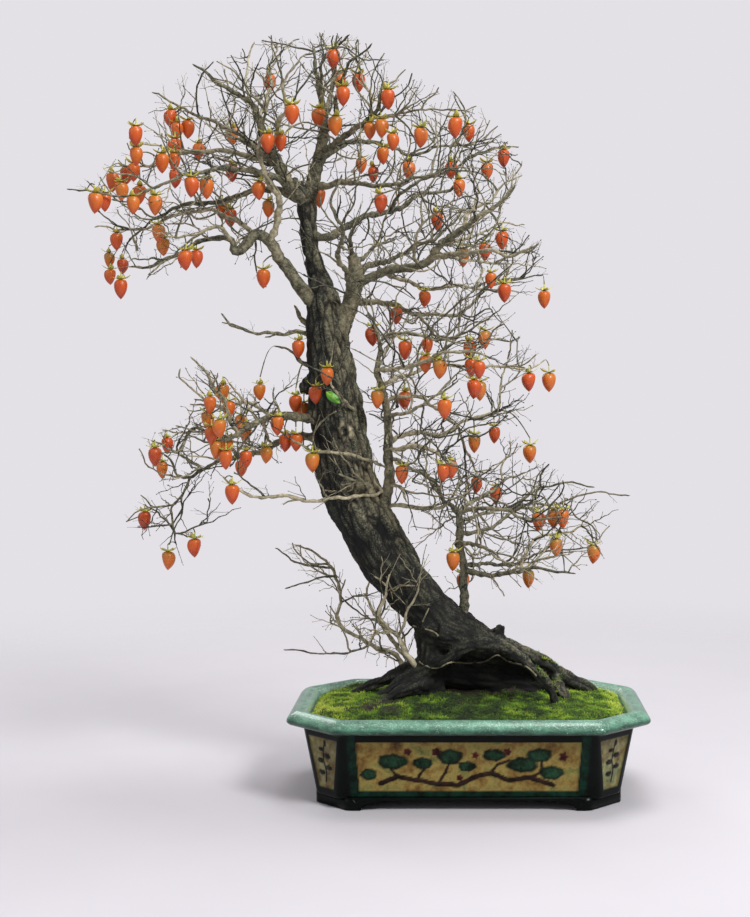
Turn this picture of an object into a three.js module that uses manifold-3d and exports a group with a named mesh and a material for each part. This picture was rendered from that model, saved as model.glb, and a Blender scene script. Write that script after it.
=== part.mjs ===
// A princess persimmon bonsai in its octagonal glazed pot, in millimetres, +Z up.
import * as THREE from 'three';
import { mergeVertices } from 'three/addons/utils/BufferGeometryUtils.js';
import Module from 'manifold-3d';

const wasm = await Module();
wasm.setup();

// Pot: an octagon, a rectangle with its corners cut off at 45 degrees
const RIM = { halfWidth: 220, halfDepth: 142, cut: 61 };
const RIM_HEIGHT = 112;
const LIP_UNDERSIDE = 97;
const BODY_TOP_INSET = 20;
const BODY_FOOT_INSET = 38;
const FOOT_HEIGHT = 14;
const FOOT_WALL = 15;
const FLOOR_THICKNESS = 9;
const WALL_THICKNESS = 9;
const CORNER_ROUNDING = 5;
const DRAIN_RADIUS = 9;
const DRAIN_SPACING = 150;
const SCREEN = { side: 30, thickness: 1.4, hole: 7, bar: 2 };
const PANEL_DEPTH = 1.6;
const PANEL_FOOT = 24;
const PANEL_TOP = 84;
const FRONT_PANEL = { halfFoot: 129, halfTop: 133 };
const END_PANEL = { halfFoot: 56, halfTop: 62 };
const FRONT_ARCH = 128;
const END_ARCH = 52;

// Soil and moss
const SOIL_EDGE_HEIGHT = 101;
const SOIL_CROWN_HEIGHT = 112;
const MOSS_THICKNESS = 7;
const GAP = 0.35;
const BED_TOLERANCE = 0.25;

// Fruit, a pointed berry under four narrow sepals
const FRUIT_LENGTH = 27;
const FRUIT_RADIUS = 8.2;
const SEPAL_LENGTH = 14;
const SEPAL_LIFT = 3;
const STALK_LENGTH = 9;
const STALK_RADIUS = 0.8;

// Twigs
const TWIG_SPACING = 116;
const TWIG_RADIUS = 1.25;
const TWIG_LOWEST = 150;
const TWIG_SEED = 11;
const TWIG_ROOM = 2;
const SPUR_ROOM = 1.2;
const THICKEST_TWIGGY_LIMB = 4.6;
const THICKEST_FRUITING_WOOD = 9;
const WOOD_TOLERANCE = 0.06;

// The tree is drawn from the front: x and height on the upright plane through the pot's middle,
// as seen by an eye this far in front of that plane and this high. The third number is the
// depth to which a point is carried along its line of sight, and the fourth is the radius there.
const EYE_DISTANCE = 1885;
const EYE_HEIGHT = 497;

const TRUNK = [
  [-36, 205, 4, 27], [-54, 226, 2, 29], [-79, 255, 0, 31], [-105, 294, 0, 35], [-128, 336, 0, 35],
  [-147, 376, 0, 36], [-158, 420, 0, 36], [-165, 470, 0, 35], [-172, 520, 0, 30],
  [-178, 568, 2, 26], [-182, 600, 4, 23], [-184, 624, 6, 17], [-192, 652, 8, 11.5],
  [-200, 690, 10, 10.5], [-203, 718, 12, 12], [-204, 742, 12, 10],
];

const ROOTS = {
  pillar: [[-46, 218, 2, 25], [-45, 180, 4, 20], [-48, 140, 8, 18], [-50, 92, 10, 20]],
  shoulder: [
    [-48, 226, 4, 25], [-12, 198, 10, 26], [22, 178, 20, 21], [74, 159, 34, 16],
    [112, 140, 46, 12], [150, 124, 58, 8.5], [176, 106, 66, 5],
  ],
  shelf: [[-34, 196, -8, 22], [6, 184, -16, 14], [48, 174, -10, 11], [92, 156, 12, 9], [112, 142, 36, 8]],
  arch: [
    [-46, 150, -4, 9], [-30, 159, -22, 8], [-10, 173, -32, 7], [16, 180, -38, 7.5],
    [42, 176, -42, 7], [66, 161, -46, 7], [88, 142, -48, 6.5], [103, 122, -48, 6], [110, 96, -46, 5],
  ],
  back: [[-36, 196, 14, 20], [-10, 160, 42, 14], [16, 120, 62, 11], [26, 92, 68, 8]],
  backRight: [[30, 176, 24, 14], [58, 148, 52, 10], [72, 118, 66, 8], [78, 92, 70, 6]],
  caveWall: [[-30, 150, 24, 24], [20, 138, 32, 23], [76, 127, 38, 16], [146, 106, 58, 6]],
  left: [[-46, 158, 8, 14], [-78, 146, 16, 9.5], [-108, 134, 24, 7.5], [-140, 120, 34, 5.5], [-160, 100, 40, 4]],
  leftWeb: [[-50, 148, 4, 17], [-94, 122, 4, 10], [-116, 108, 8, 6]],
  lowerLeft: [[-48, 134, 0, 14], [-74, 124, -12, 8], [-100, 112, -22, 6], [-120, 94, -26, 4]],
  right: [[104, 142, 34, 9], [114, 124, 4, 8], [124, 108, -12, 6], [130, 90, -16, 4.5]],
};

// Burls and the scars of cut limbs, which stand out of the trunk
const BURLS = [
  [[-184, 512, -2, 20], [-200, 506, -2, 13], [-205, 494, -4, 8]],
  [[-182, 470, -6, 22], [-196, 466, -14, 12], [-204, 464, -18, 7]],
  [[-158, 446, -20, 13], [-158, 446, -34, 9.5], [-157, 446, -40, 6.5]],
  [[36, 190, 20, 12], [40, 200, 18, 6], [43, 204, 18, 4]],
  [[-202, 742, 12, 11], [-214, 752, 8, 10], [-226, 762, 2, 8]],
];

// Limbs from the trunk, then the branches from them
const LIMBS = [
  // The left limb with its knee
  [[-188, 604, 0, 10], [-214, 632, -6, 8], [-236, 664, -14, 7], [-252, 688, -20, 7], [-268, 694, -24, 6.5],
    [-283, 677, -28, 6], [-294, 672, -32, 5], [-303, 689, -36, 3.4], [-330, 688, -42, 2.6],
    [-362, 672, -50, 2.2], [-398, 656, -58, 1.9], [-426, 653, -64, 1.2]],
  [[-250, 686, -20, 5], [-243, 712, -26, 4], [-240, 740, -34, 3.5], [-252, 765, -44, 3],
    [-262, 792, -56, 2.4], [-258, 825, -66, 1.9], [-252, 862, -74, 1.1]],
  [[-266, 692, -24, 4], [-285, 708, 10, 3], [-312, 722, 40, 2.6], [-345, 724, 70, 2.3],
    [-378, 716, 95, 2], [-410, 702, 115, 1.6], [-470, 703, 140, 0.9]],
  [[-300, 684, -35, 3], [-312, 705, -60, 2.4], [-330, 701, -84, 2], [-375, 692, -120, 1.1]],
  // The fan to the far left
  [[-212, 738, 8, 6], [-240, 752, 20, 4.5], [-275, 748, 40, 3.4], [-310, 738, 62, 2.8],
    [-350, 732, 84, 2.4], [-385, 720, 104, 2], [-412, 702, 120, 1.5], [-432, 680, 132, 1]],
  [[-220, 754, 4, 5], [-250, 768, -24, 4], [-285, 776, -50, 3], [-320, 775, -76, 2.4],
    [-352, 768, -98, 2], [-385, 756, -118, 1.6], [-424, 742, -134, 1.3], [-503, 753, -150, 0.8]],
  [[-228, 768, 2, 5], [-252, 788, -6, 4], [-285, 796, -14, 3], [-320, 798, -20, 2.6],
    [-352, 798, -24, 2.2], [-380, 792, -28, 1.8], [-402, 782, -32, 1.5], [-432, 780, -36, 0.9]],
  [[-352, 798, -24, 1.8], [-378, 802, -60, 1.5], [-402, 809, -84, 1.2], [-424, 816, -96, 0.9]],
  [[-234, 774, 0, 4.5], [-262, 800, 20, 3.6], [-286, 820, 44, 3], [-312, 832, 66, 2.5],
    [-334, 840, 84, 2.2], [-352, 853, 96, 1.8], [-374, 861, 106, 1.4], [-397, 872, 112, 0.9]],
  // The upper left leader
  [[-206, 735, 10, 9], [-230, 764, 0, 8], [-249, 800, -12, 6], [-262, 832, -22, 4.6],
    [-274, 858, -30, 3.6], [-300, 875, -44, 2.6], [-322, 892, -58, 1.9], [-344, 910, -70, 1]],
  [[-262, 832, -22, 3], [-256, 856, 10, 2.4], [-250, 880, 34, 2], [-250, 905, 50, 1.6], [-240, 936, 60, 0.9]],
  [[-249, 800, -12, 3.4], [-240, 826, -50, 2.8], [-228, 855, -84, 2.2], [-232, 885, -110, 1.6],
    [-205, 922, -132, 0.9]],
  [[-274, 858, -30, 2.2], [-279, 885, -12, 1.7], [-276, 912, 0, 1.3], [-270, 936, 8, 0.9]],
  [[-228, 762, 2, 5], [-236, 782, 60, 4], [-262, 800, 110, 3], [-290, 812, 150, 2.2], [-310, 836, 178, 1.2]],
  // The upper right leader
  [[-203, 738, 12, 9.5], [-193, 770, 10, 8.5], [-185, 805, 8, 7], [-180, 835, 4, 5.5], [-184, 862, 0, 4],
    [-190, 888, -4, 3], [-195, 930, -8, 1.4]],
  [[-180, 835, 4, 3.5], [-176, 865, 30, 2.6], [-170, 900, 52, 2], [-176, 925, 66, 1.5], [-188, 950, 74, 0.9]],
  [[-184, 862, 0, 2.6], [-186, 895, -30, 2], [-175, 925, -50, 1.6], [-150, 944, -64, 0.9]],
  [[-182, 820, 6, 4], [-168, 846, -30, 3], [-164, 880, -60, 2.2], [-146, 912, -86, 1.6], [-122, 936, -104, 0.9]],
  [[-186, 800, 8, 5], [-166, 812, -20, 4], [-145, 828, -40, 3.4], [-124, 842, -58, 2.8], [-112, 856, -70, 2.2],
    [-109, 890, -82, 1]],
  [[-124, 842, -58, 2.2], [-98, 842, -80, 1.9], [-82, 852, -94, 1.6], [-68, 858, -104, 0.9]],
  [[-124, 842, -58, 2], [-122, 868, -30, 1.6], [-132, 888, -12, 1.3], [-138, 905, 0, 0.9]],
  [[-98, 842, -80, 1.6], [-70, 850, -96, 1.3], [-20, 853, -118, 0.8]],
  [[-191, 780, 10, 5], [-172, 800, 36, 4], [-150, 812, 60, 3.2], [-118, 812, 84, 2.6], [-92, 803, 104, 2.2],
    [-72, 794, 120, 1.9], [-46, 802, 134, 1.6], [-20, 806, 146, 1.3], [32, 816, 162, 0.8]],
  [[-20, 806, 146, 1.3], [-6, 834, 150, 1.2], [-8, 858, 154, 1], [-20, 875, 158, 0.8]],
  [[-199, 752, 12, 5], [-176, 757, -16, 4], [-150, 762, -44, 3.2], [-120, 757, -70, 2.6], [-92, 757, -94, 2.2],
    [-70, 766, -112, 1.8], [-50, 770, -126, 1.4], [-12, 776, -140, 0.9]],
  [[-201, 698, 11, 6], [-176, 692, 22, 5], [-152, 704, 40, 4.4], [-128, 715, 58, 3.8], [-100, 726, 76, 3.4],
    [-82, 731, 88, 2.8], [-62, 744, 100, 2.4], [-40, 746, 112, 2.1], [-18, 754, 122, 1.9],
    [-11, 782, 130, 1.6], [24, 800, 136, 1.3], [65, 807, 142, 0.8]],
  [[-100, 726, 76, 2.6], [-84, 748, 50, 2.2], [-52, 764, 30, 1.8], [-22, 776, 14, 1.4], [-9, 802, 4, 0.9]],
  // The stub stem beside the leader, with the right limb
  [[-168, 566, 4, 16], [-152, 598, 4, 11], [-144, 626, 2, 10], [-142, 652, 0, 8.5], [-147, 671, -2, 5.5]],
  [[-146, 666, 0, 3.4], [-150, 690, -30, 2.2], [-138, 712, -52, 1.1]],
  [[-142, 655, 0, 3.4], [-128, 668, 30, 2.4], [-112, 682, 54, 1.8], [-90, 690, 72, 1]],
  [[-143, 628, 2, 7], [-126, 640, -4, 5.6], [-106, 648, -12, 5.2], [-82, 651, -22, 5], [-62, 655, -30, 5],
    [-46, 668, -38, 4.8], [-30, 688, -46, 4.2], [-6, 702, -56, 3.4], [12, 718, -64, 2.8], [32, 728, -72, 2.3],
    [48, 740, -78, 1.8], [58, 757, -82, 1]],
  [[-6, 702, -56, 2.4], [-4, 718, -30, 2], [10, 730, -10, 1.8], [28, 737, 6, 1.5], [42, 756, 18, 1.3],
    [68, 771, 28, 0.8]],
  [[-48, 666, -38, 4], [-24, 668, -64, 3.2], [4, 673, -86, 2.6], [24, 674, -102, 2.2], [48, 667, -116, 1.8],
    [66, 676, -128, 1.4], [90, 683, -138, 0.8]],
  [[-24, 668, -64, 2.2], [-4, 663, -30, 1.9], [20, 661, -8, 1.6], [34, 656, 8, 1.3], [54, 657, 20, 0.8]],
  [[-34, 682, -44, 2.4], [-14, 686, -10, 2], [6, 690, 20, 1.7], [18, 698, 44, 1.4], [40, 708, 66, 1.1],
    [70, 706, 84, 0.8]],
  [[-62, 655, -30, 2.6], [-68, 675, -64, 2], [-64, 694, -92, 1.6], [-52, 715, -114, 1.3], [-15, 740, -142, 0.8]],
  [[-146, 610, 4, 5], [-116, 611, 20, 3.6], [-94, 608, 40, 3], [-74, 596, 58, 2.6], [-44, 595, 76, 2.2],
    [-20, 593, 92, 2], [2, 604, 106, 1.8], [16, 622, 118, 1.6], [42, 634, 128, 1.3], [95, 644, 138, 0.8]],
  [[-74, 596, 58, 2], [-58, 586, 30, 1.8], [-42, 566, 10, 1.5], [-6, 571, -4, 1.3], [14, 582, -14, 1.1],
    [33, 597, -22, 0.8]],
  [[-106, 648, -12, 3], [-80, 636, 10, 2.4], [-48, 627, 34, 2], [-14, 629, 56, 1.8], [14, 624, 76, 1.6],
    [62, 622, 104, 0.8]],
  [[-144, 640, 2, 5], [-128, 654, 50, 4], [-96, 664, 100, 3], [-60, 680, 140, 2.4], [-30, 700, 166, 1.8],
    [-8, 728, 184, 1]],
  [[-150, 612, 2, 5], [-150, 640, -50, 3.4], [-166, 668, -96, 2.8], [-158, 700, -134, 2.2],
    [-172, 735, -160, 1.6], [-160, 770, -178, 1]],
  // The second trunk, which climbs on the right of the first
  [[-114, 336, -8, 11], [-101, 372, -20, 7], [-101, 425, -24, 5.4], [-103, 465, -26, 4.6], [-110, 505, -26, 4],
    [-116, 528, -24, 3.4], [-110, 548, -22, 2.8], [-116, 572, -20, 2], [-124, 596, -18, 1.2]],
  [[-101, 425, -24, 3.4], [-76, 427, -48, 2.8], [-50, 425, -70, 2.4], [-32, 416, -88, 2], [-14, 404, -102, 1.1]],
  [[-101, 430, -24, 3.6], [-80, 441, -4, 3], [-56, 445, 16, 2.6], [-30, 443, 34, 2.2], [-2, 461, 50, 1.9],
    [33, 473, 64, 1.7], [38, 494, 74, 1.4], [50, 542, 88, 0.8]],
  [[-101, 415, -24, 3], [-82, 405, 10, 2.4], [-58, 394, 38, 2.1], [-42, 378, 60, 1.8], [-32, 356, 76, 1]],
  [[-101, 378, -20, 2.6], [-86, 378, -44, 2], [-79, 356, -60, 1]],
  [[-116, 524, -24, 3], [-90, 527, -52, 2.6], [-62, 533, -78, 2.4], [-50, 537, -90, 2.2], [-36, 546, -100, 2],
    [-2, 547, -112, 1.6], [20, 541, -122, 0.9]],
  [[-50, 536, -90, 2], [-24, 532, -70, 1.8], [2, 529, -52, 1.6], [24, 532, -38, 1.5], [50, 527, -24, 1.4],
    [74, 524, -12, 1.2], [98, 536, -4, 0.8]],
  [[-106, 486, -26, 3], [-74, 492, 4, 2.4], [-50, 482, 30, 2.2], [-26, 462, 52, 2], [-8, 442, 70, 1.8],
    [-2, 418, 84, 1.6], [10, 396, 94, 1]],
  [[-103, 468, -26, 2.8], [-84, 469, -60, 2.2], [-60, 480, -88, 1.8], [-38, 494, -110, 1.4],
    [-12, 512, -126, 0.9]],
  [[-109, 499, -26, 3.4], [-96, 512, 30, 2.8], [-74, 520, 74, 2.3], [-44, 536, 110, 1.8], [-2, 580, 146, 0.9]],
  [[-113, 560, -21, 2.2], [-96, 572, -44, 1.9], [-70, 570, -66, 1.6], [-40, 562, -84, 1.4], [-6, 556, -98, 0.9]],
  [[-104, 352, -14, 4], [-76, 353, -26, 2.6], [-52, 350, -34, 2.3], [-30, 356, -42, 1.9], [-8, 384, -50, 1]],
  // The straight shoot on the right root
  [[-6, 190, 14, 8], [-7, 232, 8, 5.4], [-8, 270, 4, 5], [-12, 312, 0, 5], [-13, 350, -2, 4.2]],
  [[-13, 345, -2, 3.6], [-30, 362, -20, 2.6], [-40, 380, -36, 1.8], [-60, 396, -50, 1]],
  [[-13, 346, -2, 3.4], [8, 362, 22, 2.6], [26, 369, 42, 2.2], [46, 386, 60, 1.6], [72, 396, 76, 0.9]],
  [[-13, 346, -2, 3.2], [14, 350, -24, 2.6], [32, 352, -42, 2.3], [52, 346, -60, 2], [72, 337, -76, 1.7],
    [120, 338, -100, 0.9]],
  [[-8, 272, 4, 4], [18, 268, -14, 3], [44, 270, -30, 2.6], [68, 270, -44, 2.3], [88, 274, -56, 1.9],
    [112, 273, -66, 1.5], [136, 270, -74, 0.9]],
  [[66, 270, -43, 2], [70, 290, -28, 1.9], [82, 307, -16, 1.7], [100, 318, -6, 1.5], [128, 321, 4, 1.3],
    [156, 333, 12, 0.8]],
  [[-8, 278, 4, 3.4], [16, 282, 28, 2.4], [40, 278, 50, 2], [64, 282, 70, 1.6], [96, 296, 88, 1.2],
    [160, 302, 96, 0.8]],
  [[-12, 318, 0, 3.4], [12, 320, 18, 2.4], [30, 328, 34, 2.2], [50, 346, 50, 2], [72, 366, 64, 1.7],
    [98, 378, 76, 1.4], [130, 382, 86, 1.2], [160, 378, 94, 0.8]],
  [[50, 346, 50, 1.8], [80, 354, 30, 1.5], [112, 358, 12, 1.3], [150, 368, -4, 1.1], [200, 368, -16, 0.8]],
  [[-12, 306, 0, 3], [12, 305, -24, 2.2], [26, 296, -44, 1.8], [42, 286, -60, 1]],
  [[-12, 330, 0, 3.4], [-4, 336, 44, 2.4], [20, 344, 84, 2], [50, 352, 116, 1.6], [90, 350, 140, 0.9]],
  // Low limbs on the left
  [[-190, 568, 0, 6], [-216, 571, -8, 2.6], [-232, 566, -14, 2.2], [-252, 572, -20, 2], [-276, 571, -26, 1.7],
    [-298, 582, -32, 1.4], [-313, 596, -36, 0.9]],
  [[-190, 572, 4, 6], [-209, 588, 12, 2.8], [-222, 604, 20, 1.4]],
  [[-192, 526, 0, 6], [-208, 536, 4, 2.6], [-222, 548, 8, 1.6], [-246, 556, 12, 0.9]],
  [[-182, 462, -8, 9], [-206, 464, -22, 5.4], [-236, 466, -36, 4.4], [-258, 463, -46, 3.8],
    [-276, 452, -56, 3.4], [-292, 442, -64, 3], [-308, 438, -72, 2.6], [-326, 446, -80, 2.2],
    [-346, 449, -88, 1.8], [-366, 420, -98, 1]],
  [[-290, 444, -63, 2.4], [-304, 468, -84, 2.2], [-310, 492, -100, 1.9], [-324, 510, -112, 1.6],
    [-348, 541, -126, 0.9]],
  [[-304, 468, -84, 1.7], [-330, 486, -98, 1.4], [-357, 508, -108, 1.1], [-360, 526, -112, 0.8]],
  [[-258, 463, -46, 2.4], [-254, 444, -20, 2], [-246, 432, 8, 1.2]],
  [[-262, 461, -48, 2.2], [-278, 478, -20, 1.9], [-302, 508, 20, 0.9]],
  [[-248, 465, -41, 3], [-262, 476, 14, 2.4], [-284, 484, 60, 2], [-312, 480, 96, 1.6], [-345, 488, 122, 0.9]],
  [[-182, 440, 6, 8], [-206, 441, 14, 4.8], [-230, 438, 24, 4], [-248, 430, 32, 3.6], [-266, 419, 40, 3.2],
    [-292, 416, 50, 2.8], [-314, 411, 58, 2.5], [-334, 401, 64, 2.3], [-350, 391, 68, 2.1], [-366, 391, 72, 1.8],
    [-372, 404, 76, 1.5], [-384, 420, 80, 0.9]],
  [[-350, 391, 68, 1.8], [-358, 372, 60, 1.6], [-371, 355, 54, 1.5], [-374, 338, 50, 1.3], [-370, 318, 46, 1.2],
    [-367, 306, 44, 0.9]],
  [[-371, 355, 54, 1.2], [-394, 354, 58, 1.1], [-412, 371, 62, 0.8]],
  [[-371, 320, 46, 1.1], [-348, 324, 30, 1], [-330, 332, 18, 0.8]],
  [[-371, 322, 47, 1.1], [-392, 346, 66, 1], [-408, 356, 78, 0.8]],
  [[-332, 402, 63, 1.8], [-352, 412, 40, 1.5], [-374, 424, 20, 1.3], [-398, 436, 4, 0.9]],
  [[-292, 416, 50, 2.2], [-300, 430, 84, 1.9], [-326, 434, 112, 1.5], [-350, 440, 130, 0.9]],
  [[-124, 364, -26, 5], [-160, 364, -46, 2.4], [-200, 361, -56, 2.2], [-240, 365, -66, 2], [-266, 366, -74, 1.8],
    [-290, 376, -82, 1.5], [-313, 392, -92, 0.9]],
  [[-130, 414, -14, 5], [-152, 418, -46, 2.3], [-182, 421, -56, 2], [-206, 430, -64, 1.6], [-226, 436, -70, 1]],
  [[-144, 470, -16, 5], [-154, 484, -46, 1.8], [-172, 504, -54, 1.2], [-178, 530, -58, 0.9]],
  [[-120, 374, -12, 4], [-128, 380, -42, 1.6], [-150, 388, -50, 1.3], [-164, 393, -54, 0.9]],
  // Shoots from the left roots
  [[-70, 140, 16, 4.4], [-81, 148, 18, 3.4], [-94, 167, 22, 3], [-124, 182, 28, 2.6], [-153, 198, 34, 2.4],
    [-166, 212, 38, 2.2], [-160, 234, 42, 2], [-165, 260, 46, 1.8], [-181, 286, 50, 1.6], [-220, 305, 54, 0.9]],
  [[-176, 278, 49, 1.5], [-206, 281, 60, 1.3], [-243, 298, 70, 0.8]],
  [[-166, 264, 47, 1.4], [-192, 262, 30, 1.2], [-231, 250, 20, 0.8]],
  [[-160, 234, 42, 1.5], [-136, 240, 62, 0.9]],
  [[-124, 182, 28, 1.6], [-140, 174, 12, 1.3], [-180, 168, -4, 1.1], [-231, 174, -14, 0.8]],
  [[-62, 136, 2, 4.4], [-69, 157, 0, 3.2], [-88, 186, -6, 2.8], [-113, 212, -12, 2.2], [-104, 240, -26, 1.8],
    [-96, 270, -36, 0.9]],
  [[-88, 186, -6, 2], [-78, 214, -34, 1.7], [-65, 254, -44, 0.9]],
  [[-66, 142, 18, 4], [-84, 170, 52, 2.8], [-108, 204, 76, 2.2], [-128, 240, 94, 1.6], [-120, 276, 106, 0.9]],
];

// Middles of the fruit as drawn: some of the real one's, out to the furthest tips
const FRUITS = [
  [-374, 838], [-418, 816], [-385, 782], [-448, 758], [-470, 732], [-296, 816], [-252, 807], [-250, 882],
  [-299, 713], [-187, 738], [-188, 839], [-138, 883], [-170, 913], [-101, 862], [-111, 731], [-390, 694],
  [-442, 684], [-437, 624], [-355, 660], [-258, 637], [-61, 814], [0, 820], [44, 788], [-40, 709],
  [42, 685], [45, 619], [95, 611], [-80, 547], [2, 547], [101, 507], [-80, 484], [-30, 473], [7, 430],
  [77, 417], [-196, 406], [107, 335], [-20, 282], [75, 260], [156, 291], [-207, 470], [-309, 493],
  [-297, 366], [-394, 413], [-407, 333], [-378, 283], [-344, 299],
];

const WOOD_COLOUR = 0x4a463c;
const GLAZE_COLOUR = 0x1f4a3a;
const SCREEN_COLOUR = 0x22252a;
const SOIL_COLOUR = 0x2b211a;
const MOSS_COLOUR = 0x5f9a1e;
const FRUIT_COLOUR = 0xe8541a;
const LEAF_COLOUR = 0x5fae2c;

function carried([x, height, depth]) {
  const scale = 1 + depth / EYE_DISTANCE;
  return new THREE.Vector3(x * scale, depth, EYE_HEIGHT + (height - EYE_HEIGHT) * scale);
}

let seed = TWIG_SEED;
function random(low = 0, high = 1) {
  seed = (seed * 16807) % 2147483647;
  return low + (high - low) * (seed / 2147483647);
}

// A closed mesh as a solid that can be joined and cut
function solid(geometry) {
  geometry.deleteAttribute('normal');
  geometry.deleteAttribute('uv');
  const merged = mergeVertices(geometry, 1e-4);
  const corners = [];
  for (let i = 0; i < merged.index.count; i += 3) {
    const [a, b, c] = [0, 1, 2].map((k) => merged.index.getX(i + k));
    if (a !== b && b !== c && c !== a) corners.push(a, b, c);
  }
  const vertProperties = new Float32Array(merged.attributes.position.array);
  return new wasm.Manifold(new wasm.Mesh({ numProp: 3, vertProperties, triVerts: new Uint32Array(corners) }));
}

// The largest body of a solid, as a named mesh
function piece(name, body, color, roughness) {
  const largest = body.decompose().reduce((a, b) => (b.volume() > a.volume() ? b : a));
  const { vertProperties, triVerts } = largest.getMesh();
  const geometry = new THREE.BufferGeometry();
  geometry.setAttribute('position', new THREE.BufferAttribute(vertProperties, 3));
  geometry.setIndex(new THREE.BufferAttribute(triVerts, 1));
  geometry.computeVertexNormals();
  const mesh = new THREE.Mesh(geometry, new THREE.MeshStandardMaterial({ color, roughness, metalness: 0 }));
  mesh.name = name;
  return mesh;
}

// A closed skin over rings of points, which run anticlockwise as seen from the last ring
function skin(rings) {
  const count = rings[0].length;
  const rows = rings.length - 1;
  const shape = new THREE.CylinderGeometry(1, 1, 1, count, rows);
  const place = shape.attributes.position;
  for (let i = 0; i < place.count; i++) {
    const ring = rings[Math.round((place.getY(i) + 0.5) * rows)];
    const turn = Math.round((Math.atan2(place.getX(i), place.getZ(i)) / (2 * Math.PI)) * count);
    const onAxis = Math.hypot(place.getX(i), place.getZ(i)) < 0.5;
    const point = onAxis ? middle(ring) : ring[(turn + count) % count];
    place.setXYZ(i, point.x, point.y, point.z);
  }
  return solid(shape);
}

function middle(points) {
  const sum = points.reduce((total, point) => total.add(point), new THREE.Vector3());
  return sum.divideScalar(points.length);
}

// How far out the corners of a polygon lie that has a circle's area
const cornerReach = (sides) => Math.sqrt((2 * Math.PI) / (sides * Math.sin((2 * Math.PI) / sides)));

// A tapered limb through its stations, which are [position, radius] pairs
function limb(stations, { sides, swell = 0, grow = 0 }) {
  const rows = stations.length - 1;
  const centres = stations.map(([point]) => point.clone());
  const first = centres[0].clone().sub(centres[1]).normalize();
  const last = centres[rows].clone().sub(centres[rows - 1]).normalize();
  centres[0].addScaledVector(first, grow);
  centres[rows].addScaledVector(last, grow);
  let across = new THREE.Vector3(0.3, 1, 0.2);
  const rings = centres.map((centre, row) => {
    const ahead = centres[Math.min(row + 1, rows)].clone().sub(centres[Math.max(row - 1, 0)]).normalize();
    across = across.clone().addScaledVector(ahead, -across.dot(ahead)).normalize();
    const up = new THREE.Vector3().crossVectors(ahead, across);
    return Array.from({ length: sides }, (_, side) => {
      const angle = (2 * Math.PI * side) / sides;
      const lobes = 1 + swell * (Math.sin(3 * angle + 0.9 * row) + 0.6 * Math.sin(5 * angle - 0.6 * row));
      const reach = stations[row][1] * cornerReach(sides) * lobes + grow;
      return centre.clone()
        .addScaledVector(across, reach * Math.cos(angle))
        .addScaledVector(up, reach * Math.sin(angle));
    });
  });
  return skin(rings);
}

const stationsOf = (points) => points.map((point) => [carried(point), point[3]]);

// Stations that run out to a point
const pointed = (stations) => stations
  .map(([point, radius], i) => [point, i < stations.length - 1 ? radius : 0]);

const twigRadius = (limbRadius) => Math.min(TWIG_RADIUS, 0.5 * limbRadius);

// A thin straight twig that tapers to a point
function twig(root, tip, radius) {
  const shape = new THREE.ConeGeometry(radius * cornerReach(3), root.distanceTo(tip), 3);
  const turn = new THREE.Quaternion().setFromUnitVectors(
    new THREE.Vector3(0, 1, 0),
    tip.clone().sub(root).normalize(),
  );
  const centre = root.clone().lerp(tip, 0.5);
  return solid(shape.applyQuaternion(turn).translate(centre.x, centre.y, centre.z));
}

function sidesFor(radius) {
  if (radius > 7) return 6;
  return radius > 4.5 ? 4 : 3;
}

// The octagon that lies this far inside the rim's, with rounded corners
function octagon(inset, height, cutChange = 0) {
  const x = RIM.halfWidth - inset;
  const y = RIM.halfDepth - inset;
  const cut = RIM.cut - inset * (2 - Math.SQRT2) - cutChange;
  const corners = [
    [-x + cut, -y], [x - cut, -y], [x, -y + cut], [x, y - cut],
    [x - cut, y], [-x + cut, y], [-x, y - cut], [-x, -y + cut],
  ].map(([px, py]) => new THREE.Vector3(px, py, height));
  return corners.flatMap((corner, i) => {
    const before = corners[(i + 7) % 8].clone().sub(corner).setLength(CORNER_ROUNDING);
    const after = corners[(i + 1) % 8].clone().sub(corner).setLength(CORNER_ROUNDING);
    return [corner.clone().add(before), corner.clone().add(after)];
  });
}

// A block between two flat octagons
const prism = (inset, low, high) => skin([octagon(inset, low), octagon(inset, high)]);

// An extruded upright outline, drawn as x and height, across the pot or along it
function tunnel(halfSpan, along) {
  const outline = new THREE.Shape();
  outline.moveTo(-halfSpan, -1);
  outline.lineTo(-halfSpan, 1);
  outline.quadraticCurveTo(-halfSpan + 2, 8, -halfSpan + 14, 8);
  outline.quadraticCurveTo(-halfSpan + 22, 8, -halfSpan + 26, FOOT_HEIGHT - 2);
  outline.lineTo(halfSpan - 26, FOOT_HEIGHT - 2);
  outline.quadraticCurveTo(halfSpan - 22, 8, halfSpan - 14, 8);
  outline.quadraticCurveTo(halfSpan - 2, 8, halfSpan, 1);
  outline.lineTo(halfSpan, -1);
  const length = 500;
  const shape = new THREE.ExtrudeGeometry(outline, { depth: length, bevelEnabled: false, curveSegments: 3 });
  shape.translate(0, 0, -length / 2).rotateX(Math.PI / 2);
  if (along) shape.rotateZ(Math.PI / 2);
  return solid(shape);
}

// How far out the front and back walls lie at a height, with the panel's floor sunk in
function panelFace(height) {
  const share = (height - FOOT_HEIGHT) / (LIP_UNDERSIDE - FOOT_HEIGHT);
  const inset = THREE.MathUtils.lerp(BODY_FOOT_INSET, BODY_TOP_INSET, share);
  return RIM.halfDepth - inset - PANEL_DEPTH;
}

// A panel sunk into a wall: a slab that leans with the wall and is cut out of it
function panelCut({ halfFoot, halfTop }, side, onEnd) {
  const beyond = onEnd ? RIM.halfWidth - RIM.halfDepth : 0;
  return skin([[PANEL_FOOT, halfFoot], [PANEL_TOP, halfTop]].map(([height, half]) => {
    const near = panelFace(height) + beyond;
    const outline = [[-half, near], [-half, near + 12], [half, near + 12], [half, near]];
    return outline.map(([along, out]) => {
      const place = onEnd ? [side * out, -side * along] : [side * along, side * out];
      return new THREE.Vector3(...place, height);
    }).reverse();
  }));
}

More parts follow.
